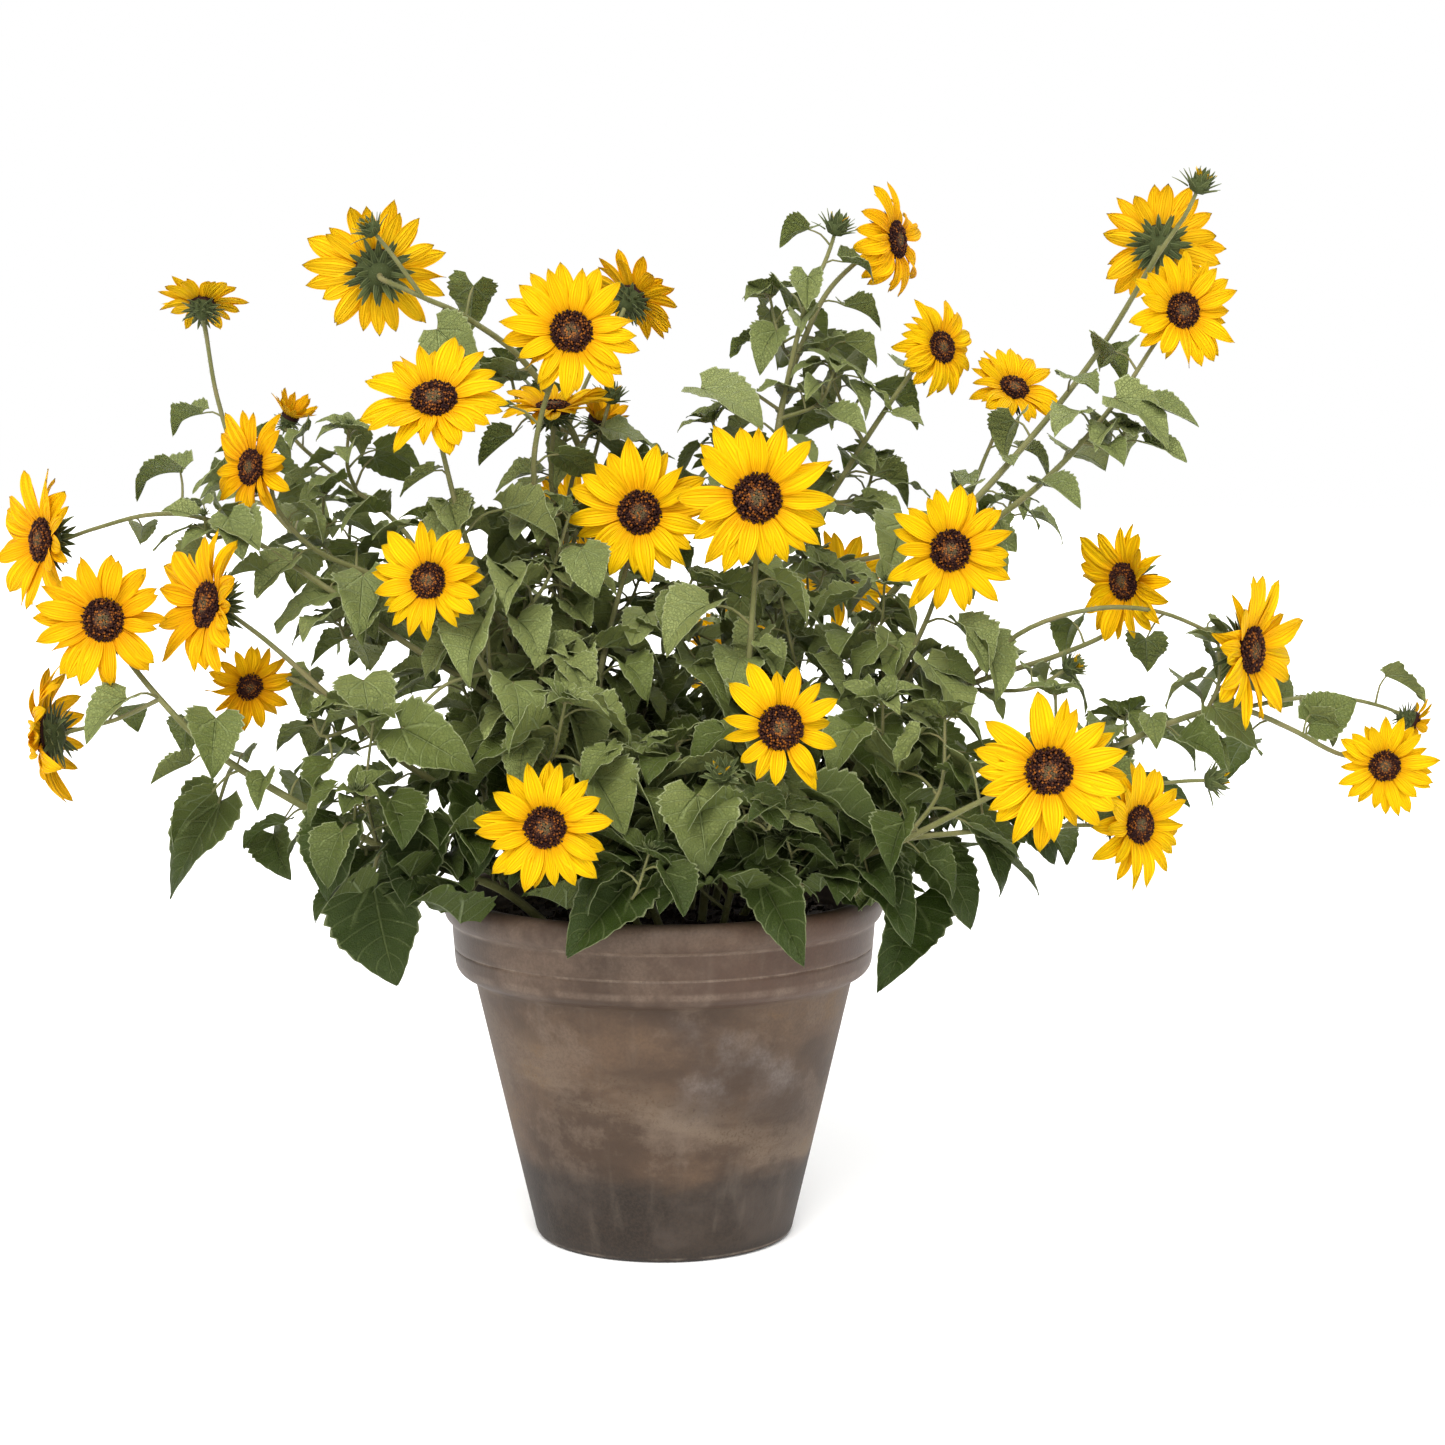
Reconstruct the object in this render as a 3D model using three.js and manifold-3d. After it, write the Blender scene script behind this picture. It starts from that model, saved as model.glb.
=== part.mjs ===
// A potted sunflower: a bushy, many-headed plant in a terracotta pot.
// Millimetres, +Z up, the origin at the centre of the pot's base; the plant's front faces -Y.
import * as THREE from "three";
import * as BufferGeometryUtils from "three/addons/utils/BufferGeometryUtils.js";
import Module from "manifold-3d";

// ---- driving dimensions ------------------------------------------------------------------
const GAP = 0.35; // clearance kept between touching pieces
const POT = {
  height: 278,
  base: 103, // radius of the foot
  shoulder: 151, // radius of the wall where the rim band starts
  shoulderAt: 209,
  band: 165, // radius of the rim band at its lower edge
  bandAt: 221,
  bandTop: 169, // radius of the band under the lip
  grooveAt: 254,
  lip: 175.5, // widest radius of the rolled lip
  wall: 12,
  floor: 13,
  drains: 3,
  drain: 10, // radius of a drain hole
  drainRing: 52, // distance of the drain holes from the middle of the base
  sides: 32,
};
const SOIL_TOP = 256;
const HEAD_SIDES = 10;
const DISC = 0.18; // disc radius as a part of the head's width
const RECEPTACLE = 13; // how far the green cup reaches behind the rays
const GOLDEN = THREE.MathUtils.degToRad(137.5); // turn from one leaf to the next
const MIN_LEAF = 45; // shorter leaves are too small to model here

// ---- flower heads: centre, facing (turn from -Y towards +X, then up, degrees), width ------
const heads = [
  { at: [-382, 130, 741], turn: 180, up: 55, width: 66 },
  { at: [-220, -20, 765], turn: 195, up: 15, width: 104 },
  { at: [-477, -40, 558], turn: -50, up: 5, width: 103 },
  { at: [-415, -130, 503], turn: -5, up: 5, width: 98 },
  { at: [-473, -60, 408], turn: -98, up: -5, width: 102 },
  { at: [-336, -120, 513], turn: -50, up: 10, width: 108 },
  { at: [-316, -90, 450], turn: 30, up: -15, width: 66 },
  { at: [-314, -40, 614], turn: -42, up: 5, width: 86 },
  { at: [-299, 40, 651], turn: 60, up: 60, width: 44 },
  { at: [-168, -120, 664], turn: 0, up: 42, width: 103 },
  { at: [-69, -60, 717], turn: 5, up: 12, width: 98 },
  { at: [-28, 100, 746], turn: 145, up: 35, width: 80 },
  { at: [-86, 0, 656], turn: 0, up: 76, width: 84 },
  { at: [-54, 62, 648], turn: 60, up: 60, width: 52 },
  { at: [-169, -150, 533], turn: -18, up: 10, width: 84 },
  { at: [-16, -60, 580], turn: -5, up: 5, width: 102 },
  { at: [73, -90, 592], turn: 5, up: 5, width: 112 },
  { at: [88, -230, 433], turn: 10, up: 5, width: 98 },
  { at: [-82, -210, 358], turn: 0, up: 5, width: 92 },
  { at: [220, -80, 552], turn: 5, up: 5, width: 94 },
  { at: [282, -220, 401], turn: 5, up: 0, width: 104 },
  { at: [355, -150, 351], turn: 38, up: 5, width: 88 },
  { at: [185, 110, 795], turn: 62, up: 5, width: 92 },
  { at: [220, 60, 707], turn: 38, up: 10, width: 78 },
  { at: [286, 120, 672], turn: 20, up: 42, width: 76 },
  { at: [400, 80, 790], turn: 172, up: 10, width: 98 },
  { at: [405, 0, 735], turn: 20, up: 5, width: 86 },
  { at: [364, -30, 526], turn: -52, up: -5, width: 90 },
  { at: [451, -60, 474], turn: 52, up: 0, width: 112 },
  { at: [565, -40, 382], turn: -5, up: 0, width: 74 },
  { at: [598, 20, 411], turn: 100, up: -25, width: 48 },
  { at: [60, 350, 430], turn: 175, up: 10, width: 96 },
  { at: [150, 312, 500], turn: 148, up: 20, width: 90 },
  { at: [-165, 330, 475], turn: 205, up: 10, width: 98 },
  { at: [-85, 300, 560], turn: 188, up: 28, width: 86 },
];

// ---- stems: each run of a stem from its root or fork to its tip ----------------------------
// radius of the run, count and length of its leaves, turn of its first leaf in degrees,
// number of leafy side shoots, and what the tip carries
const runs = [
  { stem: 1, radius: 3.6, leaves: 9, leaf: 50, turn: 40, shoots: 3, tip: "head",
    path: [[-35, 60, 250], [-55, 75, 380], [-150, 95, 480], [-235, 105, 512], [-303, 112, 552],
      [-350, 118, 612], [-370, 125, 665], [-381, 136, 722]] },
  { stem: 2, radius: 3.8, leaves: 8, leaf: 58, turn: 200, shoots: 3, tip: "head",
    path: [[-30, 35, 250], [-45, 50, 350], [-52, 58, 470], [-62, 40, 610], [-105, 15, 690],
      [-150, -10, 728], [-185, -25, 745], [-216, -34, 759]] },
  { stem: 2, radius: 2, leaves: 1, leaf: 40, turn: 90, shoots: 0, tip: "bud",
    path: [[-185, -25, 745], [-207, -38, 777], [-222, -42, 796]] },
  { stem: 3, radius: 3.2, leaves: 7, leaf: 58, turn: 310, shoots: 2, tip: "head",
    path: [[-60, -20, 250], [-80, -35, 340], [-110, -42, 415], [-205, -45, 482], [-260, -40, 520],
      [-315, -32, 555], [-360, -30, 575], [-400, -30, 577], [-440, -28, 567], [-466, -31, 558]] },
  { stem: 4, radius: 4, leaves: 10, leaf: 60, turn: 120, shoots: 2, tip: "head",
    path: [[-80, -60, 250], [-122, -95, 292], [-167, -120, 314], [-222, -127, 336], [-300, -130, 380],
      [-345, -125, 410], [-378, -117, 442], [-405, -112, 475], [-415, -118, 498]] },
  { stem: 4, radius: 2, leaves: 2, leaf: 40, turn: 0, shoots: 0, tip: "head",
    path: [[-378, -117, 442], [-415, -92, 424], [-455, -68, 412], [-461, -62, 409]] },
  { stem: 5, radius: 3.6, leaves: 8, leaf: 62, turn: 260, shoots: 2, tip: "head",
    path: [[-60, -40, 250], [-92, -55, 305], [-130, -70, 345], [-200, -90, 392], [-250, -100, 440],
      [-295, -105, 482], [-327, -112, 508]] },
  { stem: 5, radius: 2, leaves: 1, leaf: 38, turn: 60, shoots: 0, tip: "head",
    path: [[-250, -100, 440], [-290, -82, 456], [-320, -79, 452]] },
  { stem: 6, radius: 3.6, leaves: 8, leaf: 56, turn: 20, shoots: 3, tip: "head",
    path: [[-50, 10, 250], [-62, 18, 350], [-95, 20, 430], [-160, 8, 482], [-215, -8, 522],
      [-270, -18, 548], [-300, -22, 580], [-305, -32, 608]] },
  { stem: 6, radius: 2.4, leaves: 4, leaf: 44, turn: 150, shoots: 1, tip: "head",
    path: [[-160, 8, 482], [-205, 22, 560], [-250, 30, 597], [-285, 34, 625], [-301, 36, 642]] },
  { stem: 7, radius: 3.6, leaves: 6, leaf: 60, turn: 80, shoots: 3, tip: "head",
    path: [[-40, -30, 250], [-72, -50, 340], [-95, -62, 420], [-125, -82, 500], [-147, -98, 560],
      [-162, -104, 620], [-168, -110, 653]] },
  { stem: 8, radius: 3.8, leaves: 7, leaf: 60, turn: 340, shoots: 3, tip: "head",
    path: [[-10, 0, 250], [-32, -4, 340], [-50, -8, 415], [-82, -28, 525], [-98, -52, 600],
      [-92, -56, 655], [-71, -48, 713]] },
  { stem: 9, radius: 3.8, leaves: 6, leaf: 58, turn: 180, shoots: 3, tip: "head",
    path: [[-15, 30, 250], [-35, 30, 340], [-50, 28, 425], [-78, 14, 525], [-88, 6, 600], [-86, -2, 644]] },
  { stem: 9, radius: 2.2, leaves: 2, leaf: 44, turn: 30, shoots: 0, tip: "head",
    path: [[-78, 14, 525], [-76, 38, 590], [-62, 54, 636]] },
  { stem: 9, radius: 2, leaves: 2, leaf: 40, turn: 250, shoots: 0, tip: "bud",
    path: [[-78, 14, 525], [-58, 26, 610], [-42, 30, 668]] },
  { stem: 9, radius: 2.4, leaves: 4, leaf: 46, turn: 130, shoots: 1, tip: "head",
    path: [[-78, 14, 525], [-88, 66, 600], [-68, 84, 670], [-36, 90, 732]] },
  { stem: 10, radius: 3.4, leaves: 7, leaf: 62, turn: 10, shoots: 3, tip: "head",
    path: [[-30, -70, 250], [-50, -95, 302], [-76, -112, 352], [-120, -130, 445], [-143, -140, 490],
      [-165, -140, 527]] },
  { stem: 11, radius: 3.6, leaves: 8, leaf: 62, turn: 290, shoots: 3, tip: "head",
    path: [[0, -50, 250], [-22, -72, 310], [-42, -84, 375], [-48, -76, 445], [-40, -60, 490],
      [-28, -46, 535], [-17, -46, 574]] },
  { stem: 12, radius: 3.8, leaves: 8, leaf: 62, turn: 140, shoots: 3, tip: "head",
    path: [[30, -30, 250], [36, -60, 310], [45, -78, 375], [64, -82, 445], [70, -76, 505],
      [73, -70, 555], [73, -76, 588]] },
  { stem: 13, radius: 3.2, leaves: 6, leaf: 62, turn: 230, shoots: 3, tip: "head",
    path: [[45, -70, 250], [55, -105, 300], [62, -140, 338], [74, -188, 385], [86, -215, 427]] },
  { stem: 13, radius: 2, leaves: 2, leaf: 40, turn: 100, shoots: 0, tip: "bud",
    path: [[62, -140, 338], [50, -180, 366], [46, -208, 396]] },
  { stem: 14, radius: 3, leaves: 6, leaf: 58, turn: 75, shoots: 3, tip: "head",
    path: [[-10, -90, 250], [-30, -125, 292], [-50, -155, 314], [-70, -184, 338], [-81, -196, 354]] },
  { stem: 15, radius: 3.6, leaves: 8, leaf: 62, turn: 350, shoots: 3, tip: "head",
    path: [[60, 0, 250], [95, -20, 312], [125, -32, 362], [155, -42, 402], [180, -50, 446],
      [206, -56, 500], [219, -66, 547]] },
  { stem: 16, radius: 3.8, leaves: 8, leaf: 60, turn: 180, shoots: 2, tip: "head",
    path: [[70, -60, 250], [108, -98, 294], [142, -126, 318], [185, -158, 342], [232, -190, 372],
      [276, -206, 396]] },
  { stem: 16, radius: 2.4, leaves: 4, leaf: 46, turn: 40, shoots: 1, tip: "head",
    path: [[185, -158, 342], [245, -145, 346], [305, -135, 348], [345, -140, 349]] },
  { stem: 16, radius: 1.8, leaves: 2, leaf: 38, turn: 90, shoots: 0, tip: "bud",
    path: [[305, -135, 348], [342, -118, 372], [390, -118, 379], [418, -116, 380]] },
  { stem: 17, radius: 4, leaves: 9, leaf: 54, turn: 270, shoots: 4, tip: "head",
    path: [[20, 40, 250], [35, 46, 360], [60, 52, 475], [85, 62, 600], [96, 68, 665], [112, 76, 712],
      [134, 88, 755], [173, 104, 792]] },
  { stem: 17, radius: 2.4, leaves: 4, leaf: 42, turn: 20, shoots: 0, tip: "bud",
    path: [[96, 68, 665], [112, 60, 735], [130, 58, 778], [138, 56, 802]] },
  { stem: 18, radius: 3.6, leaves: 8, leaf: 54, turn: 110, shoots: 3, tip: "head",
    path: [[40, 60, 250], [60, 78, 350], [84, 84, 440], [122, 84, 560], [150, 78, 612], [175, 72, 652],
      [200, 68, 688], [212, 68, 702]] },
  { stem: 18, radius: 2.4, leaves: 4, leaf: 46, turn: 220, shoots: 1, tip: "head",
    path: [[110, 84, 525], [200, 96, 545], [242, 102, 575], [264, 112, 620], [282, 122, 662]] },
  { stem: 19, radius: 4, leaves: 8, leaf: 52, turn: 70, shoots: 3, tip: "head",
    path: [[70, 20, 250], [86, 12, 330], [108, 8, 415], [192, 18, 525], [268, 34, 607], [320, 46, 667],
      [360, 54, 722], [396, 66, 782]] },
  { stem: 19, radius: 2.2, leaves: 2, leaf: 34, turn: 0, shoots: 0, tip: "bud",
    path: [[360, 54, 722], [392, 44, 778], [414, 38, 812], [424, 36, 834]] },
  { stem: 19, radius: 3, leaves: 6, leaf: 54, turn: 200, shoots: 1, tip: "head",
    path: [[192, 18, 525], [268, -4, 577], [314, -8, 617], [356, -2, 665], [384, 6, 706], [401, 10, 730]] },
  { stem: 20, radius: 3.4, leaves: 8, leaf: 54, turn: 300, shoots: 2, tip: "head",
    path: [[90, -20, 250], [124, -26, 332], [168, -32, 402], [232, -40, 442], [312, -28, 468],
      [356, -16, 488], [374, -22, 520]] },
  { stem: 20, radius: 2.2, leaves: 4, leaf: 44, turn: 10, shoots: 0, tip: "head",
    path: [[232, -40, 442], [277, -58, 487], [332, -62, 506], [382, -56, 504], [425, -50, 487],
      [441, -52, 476]] },
  { stem: 20, radius: 1.8, leaves: 1, leaf: 38, turn: 60, shoots: 0, tip: "bud",
    path: [[232, -40, 442], [282, -64, 444], [314, -74, 462]] },
  { stem: 21, radius: 3.8, leaves: 11, leaf: 56, turn: 130, shoots: 3, tip: "head",
    path: [[80, -40, 250], [122, -48, 302], [162, -50, 326], [227, -50, 344], [302, -50, 371],
      [352, -46, 396], [410, -40, 420], [450, -38, 426], [492, -32, 410], [530, -26, 390], [564, -29, 383]] },
  { stem: 21, radius: 2, leaves: 2, leaf: 44, turn: 320, shoots: 0, tip: "head",
    path: [[450, -38, 426], [497, -18, 432], [542, 0, 430], [572, 12, 423], [590, 19, 416]] },
  { stem: 22, radius: 3.8, leaves: 8, leaf: 60, turn: 45, shoots: 4, tip: "head",
    path: [[20, 80, 250], [35, 140, 322], [50, 220, 377], [60, 300, 415], [60, 338, 428]] },
  { stem: 22, radius: 2.4, leaves: 4, leaf: 48, turn: 80, shoots: 1, tip: "head",
    path: [[50, 220, 377], [100, 262, 440], [143, 302, 494]] },
  { stem: 23, radius: 3.8, leaves: 8, leaf: 60, turn: 250, shoots: 4, tip: "head",
    path: [[-40, 80, 250], [-70, 150, 332], [-110, 220, 402], [-140, 280, 450], [-160, 318, 471]] },
  { stem: 23, radius: 2.4, leaves: 4, leaf: 48, turn: 0, shoots: 1, tip: "head",
    path: [[-110, 220, 402], [-104, 250, 480], [-88, 288, 550]] },
];

// ---- big leaves that hang where they found light: stem, blade base, blade tip, width --------
const hanging = [
  { stem: 4, base: [-335, -100, 365], tip: [-372, -120, 292], width: 66 },
  { stem: 4, base: [-220, -118, 308], tip: [-200, -136, 228], width: 76 },
  { stem: 4, base: [-175, -130, 356], tip: [-190, -146, 290], width: 54 },
  { stem: 5, base: [-300, -80, 335], tip: [-285, -92, 300], width: 36 },
  { stem: 10, base: [-195, -150, 425], tip: [-135, -168, 393], width: 48 },
  { stem: 14, base: [-15, -168, 318], tip: [-66, -196, 262], width: 56 },
  { stem: 13, base: [72, -160, 318], tip: [106, -194, 254], width: 44 },
  { stem: 21, base: [196, -72, 284], tip: [168, -104, 214], width: 54 },
  { stem: 13, base: [28, -196, 382], tip: [36, -214, 322], width: 60 },
  { stem: 17, base: [28, 20, 676], tip: [78, -6, 645], width: 58 },
  { stem: 21, base: [428, -44, 430], tip: [466, -52, 392], width: 46 },
  { stem: 19, base: [352, -18, 668], tip: [394, -30, 630], width: 46 },
  { stem: 21, base: [508, -20, 412], tip: [546, -16, 430], width: 40 },
  { stem: 2, base: [-176, -20, 722], tip: [-142, -34, 690], width: 44 },
];

// ---- geometry helpers ----------------------------------------------------------------------
const wasm = await Module();
wasm.setup();
const up = new THREE.Vector3(0, 0, 1);
const acrossAxis = new THREE.Vector3(0, 1, 0);
const vec = (p) => new THREE.Vector3(p[0], p[1], p[2]);
const deg = THREE.MathUtils.degToRad;

// leaves out the triangles whose corners have met
function geometryOf(merged) {
  const corners = [];
  for (let i = 0; i < merged.index.count; i += 3) {
    const [a, b, c] = [0, 1, 2].map((k) => merged.index.getX(i + k));
    if (a !== b && b !== c && c !== a) corners.push(a, b, c);
  }
  const geometry = new THREE.BufferGeometry();
  geometry.setAttribute("position", merged.attributes.position);
  geometry.setIndex(corners);
  geometry.computeVertexNormals();
  return geometry;
}

function toSolid(geometry) {
  const bare = geometry.clone();
  bare.deleteAttribute("normal");
  bare.deleteAttribute("uv");
  const whole = geometryOf(BufferGeometryUtils.mergeVertices(bare, 1e-4));
  const mesh = new wasm.Mesh({
    numProp: 3,
    vertProperties: new Float32Array(whole.attributes.position.array),
    triVerts: new Uint32Array(whole.index.array),
  });
  return new wasm.Manifold(mesh);
}

function toGeometry(solid) {
  const mesh = solid.getMesh();
  const geometry = new THREE.BufferGeometry();
  geometry.setAttribute("position", new THREE.BufferAttribute(mesh.vertProperties, 3));
  geometry.setIndex(new THREE.BufferAttribute(mesh.triVerts, 1));
  geometry.computeVertexNormals();
  return geometry;
}

const lathe = (profile, sides) => {
  const points = profile.map(([r, z]) => new THREE.Vector2(r, z));
  return new THREE.LatheGeometry(points, sides).rotateX(Math.PI / 2);
};

// which of a lathe's sides a point belongs to: the first one faces -Y
const stepOf = (x, y, sides) => Math.round((Math.atan2(y, x) / (2 * Math.PI) + 1.25) * sides) % sides;

function polygonOf(radius, sides) {
  const shape = new THREE.Shape();
  for (let k = 0; k < sides; k++) {
    const a = (2 * Math.PI * k) / sides;
    if (k === 0) shape.moveTo(radius * Math.cos(a), radius * Math.sin(a));
    else shape.lineTo(radius * Math.cos(a), radius * Math.sin(a));
  }
  shape.closePath();
  return shape;
}

const curveOf = (path) => new THREE.CatmullRomCurve3(path.map(vec), false, "catmullrom", 0.5);

function tube(curve, radius, sides, steps) {
  return new THREE.ExtrudeGeometry(polygonOf(radius, sides), {
    steps,
    bevelEnabled: false,
    extrudePath: curve,
  });
}

function facing(head) {
  const [a, b] = [deg(head.turn), deg(head.up)];
  return new THREE.Vector3(Math.sin(a) * Math.cos(b), -Math.cos(a) * Math.cos(b), Math.sin(b));
}

// ---- pot and soil ----------------------------------------------------------------------------
const innerAt = (z) => POT.base - POT.wall + ((POT.shoulder - POT.base) * z) / POT.shoulderAt;

function potProfile() {
  const lipMiddle = POT.height - 12;
  return [
    [0, 0],
    [POT.base - 5, 0],
    [POT.base - 1, 2],
    [POT.base + 1, 8],
    [POT.shoulder, POT.shoulderAt],
    [POT.band - 5, POT.shoulderAt + 5],
    [POT.band, POT.bandAt],
    [POT.band + 2, POT.bandAt + 6],
    [POT.bandTop, POT.grooveAt],
    [POT.lip - 4, POT.grooveAt + 4],
    [POT.lip, lipMiddle],
    [POT.lip - 1, POT.height - 4],
    [POT.lip - 5, POT.height],
    [POT.lip - 13, POT.height],
    [POT.lip - 16, POT.height - 5],
    [innerAt(SOIL_TOP - 20), SOIL_TOP - 20],
    [innerAt(POT.floor), POT.floor],
    [0, POT.floor],
  ];
}

function drainGeometry(k) {
  const angle = (2 * Math.PI * k) / POT.drains;
  const hole = new THREE.CylinderGeometry(POT.drain, POT.drain, POT.floor + 4, 12).rotateX(Math.PI / 2);
  return hole.translate(POT.drainRing * Math.sin(angle), -POT.drainRing * Math.cos(angle), POT.floor / 2);
}

function soilProfile() {
  const low = POT.floor + GAP;
  return [
    [0, low],
    [innerAt(low) - 1, low],
    [innerAt(SOIL_TOP - 20) - 1, SOIL_TOP - 20],
    [innerAt(SOIL_TOP - 20) - 1, SOIL_TOP - 3],
    [60, SOIL_TOP],
    [0, SOIL_TOP],
  ];
}

// ---- a flower head: rays, disc and green cup in one thin dish, notched between the rays --------
function headGeometry(head, pad) {
  const half = head.width / 2 + pad;
  const disc = head.width * DISC;
  const profile = [
    [0, -RECEPTACLE - pad],
    [5 + pad, -RECEPTACLE - pad],
    [disc + pad, -4 - pad],
    [half, 2 - pad],
    [half, 3.2 + pad],
    [0, 5 + pad],
  ];
  const geometry = lathe(profile, HEAD_SIDES);
  const place = geometry.attributes.position;
  for (let i = 0; i < place.count; i++) {
    const [x, y] = [place.getX(i), place.getY(i)];
    const rim = Math.hypot(x, y) > half - 1;
    if (rim && stepOf(x, y, HEAD_SIDES) % 2 === 1) place.setXY(i, x * 0.9, y * 0.9);
  }
  const turn = new THREE.Quaternion().setFromUnitVectors(up, facing(head));
  return geometry.applyQuaternion(turn).translate(...head.at);
}

// ---- leaves ------------------------------------------------------------------------------------
// a leaf is an eight-sided double cone whose rim is drawn out to the outline of blade and petiole;
// each corner is given as parts of the blade's width, length and width again for its lift
const OUTLINE = [
  "root",
  "right of the stalk",
  [0.5, 0.24, 0.1],
  [0.34, 0.62, 0.06],
  [0, 1, -0.08],
  [-0.34, 0.62, 0.06],
  [-0.5, 0.24, 0.1],
  "left of the stalk",
];
const APEX = 0.4; // the thickest place of the blade, as a part of its length
const NOTCH = 0.37; // how far the blade reaches from there towards its stalk
const WIDEST_TURN = 58; // the furthest, in degrees, that a stalk turns from the line of its blade

// the directions a blade lies in, with its thickest place and the way to its stalk from there
function layOf(leaf) {
  const heading = leaf.tip.clone().sub(leaf.base);
  const long = heading.length();
  heading.normalize();
  const side = new THREE.Vector3().crossVectors(heading, leaf.normal).normalize();
  const face = new THREE.Vector3().crossVectors(side, heading);
  const middle = leaf.base.clone().addScaledVector(heading, APEX * long);
  const stalk = leaf.root.clone().sub(middle);
  stalk.addScaledVector(face, -stalk.dot(face)).normalize();
  const beside = new THREE.Vector3().crossVectors(face, stalk);
  return { heading, long, side, face, middle, stalk, beside };
}

const isStraight = (leaf) => {
  const lay = layOf(leaf);
  return -lay.stalk.dot(lay.heading) > Math.cos(deg(WIDEST_TURN));
};

function leafGeometry(leaf, pad) {
  const thick = 1.1 + pad;
  const geometry = lathe([[0, -1], [1, 0], [0, 1]], OUTLINE.length);
  const place = geometry.attributes.position;
  const { heading, long, side, face, middle, stalk, beside } = layOf(leaf);
  for (let i = 0; i < place.count; i++) {
    const z = place.getZ(i);
    const apex = Math.abs(z) > 0.5;
    const corner = apex ? [0, APEX, 0] : OUTLINE[stepOf(place.getX(i), place.getY(i), OUTLINE.length)];
    let point = leaf.base.clone();
    if (corner === "root") {
      point = leaf.root.clone();
    } else if (typeof corner === "string") {
      const hand = corner.startsWith("right") ? 1 : -1;
      point = middle.clone().addScaledVector(stalk, NOTCH * long + pad);
      point.addScaledVector(beside, hand * (0.04 * leaf.width + pad));
    } else {
      const grow = apex ? 0 : pad;
      point.addScaledVector(side, corner[0] * leaf.width + Math.sign(corner[0]) * grow);
      point.addScaledVector(heading, corner[1] * long + Math.sign(corner[1] - APEX) * grow);
      point.addScaledVector(face, corner[2] * leaf.width + Math.sign(Math.round(z)) * thick);
    }
    place.setXYZ(i, point.x, point.y, point.z);
  }
  return geometry;
}

// how a leaf stands on its stem, and whether it has room there
function leafAt(curve, u, angle, long, wave) {
  const root = curve.getPoint(u);
  const along = curve.getTangent(u);
  const e1 = acrossAxis.clone().addScaledVector(along, -acrossAxis.dot(along)).normalize();
  const e2 = new THREE.Vector3().crossVectors(along, e1);
  const out = e1.multiplyScalar(Math.cos(angle)).addScaledVector(e2, Math.sin(angle));
  const petiole = long * (0.5 + 0.15 * wave);
  const lift = out.clone().addScaledVector(up, 0.45).normalize();
  const base = root.clone().addScaledVector(lift, petiole);
  const level = new THREE.Vector3(out.x, out.y, 0);
  level.add(new THREE.Vector3(base.x, base.y, 0).normalize().multiplyScalar(0.35)).normalize();
  const droop = deg(34 + 20 * Math.sin(5 * wave + angle));
  const heading = level.multiplyScalar(Math.cos(droop)).addScaledVector(up, -Math.sin(droop));
  const tip = base.clone().addScaledVector(heading, long);
  const side = new THREE.Vector3().crossVectors(heading, up).normalize();
  const roll = deg(18 * Math.sin(7 * wave + 2 * angle));
  const normal = new THREE.Vector3().crossVectors(side, heading).multiplyScalar(Math.cos(roll));
  normal.addScaledVector(side, Math.sin(roll));
  return { root, base, tip, normal, width: long * (0.74 + 0.08 * wave) };
}

function hasRoom(leaf) {
  const middle = leaf.base.clone().lerp(leaf.tip, 0.5);
  for (const point of [middle, leaf.tip]) {
    if (Math.hypot(point.x, point.y) < POT.lip + 12 && point.z < POT.height + 8) return false;
  }
  for (const head of heads) {
    const away = middle.clone().sub(vec(head.at));
    const ahead = away.dot(facing(head));
    const beside = Math.sqrt(Math.max(away.lengthSq() - ahead * ahead, 0));
    if (Math.abs(ahead) < 22 && beside < head.width * 0.5 + 8) return false;
    if (ahead > 0 && ahead < 90 && beside < head.width * 0.5) return false;
  }
  return true;
}

// leaves stand round a run a golden turn apart, smaller towards its tip
function leavesOf(curve, count, long, turn, first, last) {
  const leaves = [];
  for (let i = 0; i < count; i++) {
    const part = (i + 0.5) / count;
    const u = first + (last - first) * part;
    const wave = Math.sin(2.4 * i + turn);
    const leaf = leafAt(curve, u, deg(turn) + i * GOLDEN, long * (1.12 - 0.45 * part) * (1 + 0.15 * wave), wave);
    if (hasRoom(leaf)) leaves.push(leaf);
  }
  return leaves;
}

// a side shoot leaves its run at a slant and bends upwards
function shootsOf(curve, run) {
  const shoots = [];
  for (let i = 0; i < run.shoots; i++) {
    const u = 0.22 + (0.5 * (i + 0.5)) / run.shoots;
    const angle = deg(run.turn + 65) + i * GOLDEN;
    const root = curve.getPoint(u);
    const along = curve.getTangent(u);
    const e1 = acrossAxis.clone().addScaledVector(along, -acrossAxis.dot(along)).normalize();
    const e2 = new THREE.Vector3().crossVectors(along, e1);
    const out = e1.multiplyScalar(Math.cos(angle)).addScaledVector(e2, Math.sin(angle));
    const reach = 62 + 22 * Math.sin(3.1 * i + run.turn);
    const bend = root.clone().addScaledVector(out, reach * 0.55).addScaledVector(along, reach * 0.3);
    const end = bend.clone().addScaledVector(out, reach * 0.25).addScaledVector(up, reach * 0.55);
    shoots.push({ path: [root.toArray(), bend.toArray(), end.toArray()], turn: run.turn + 90 * i });
  }
  return shoots;
}

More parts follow.
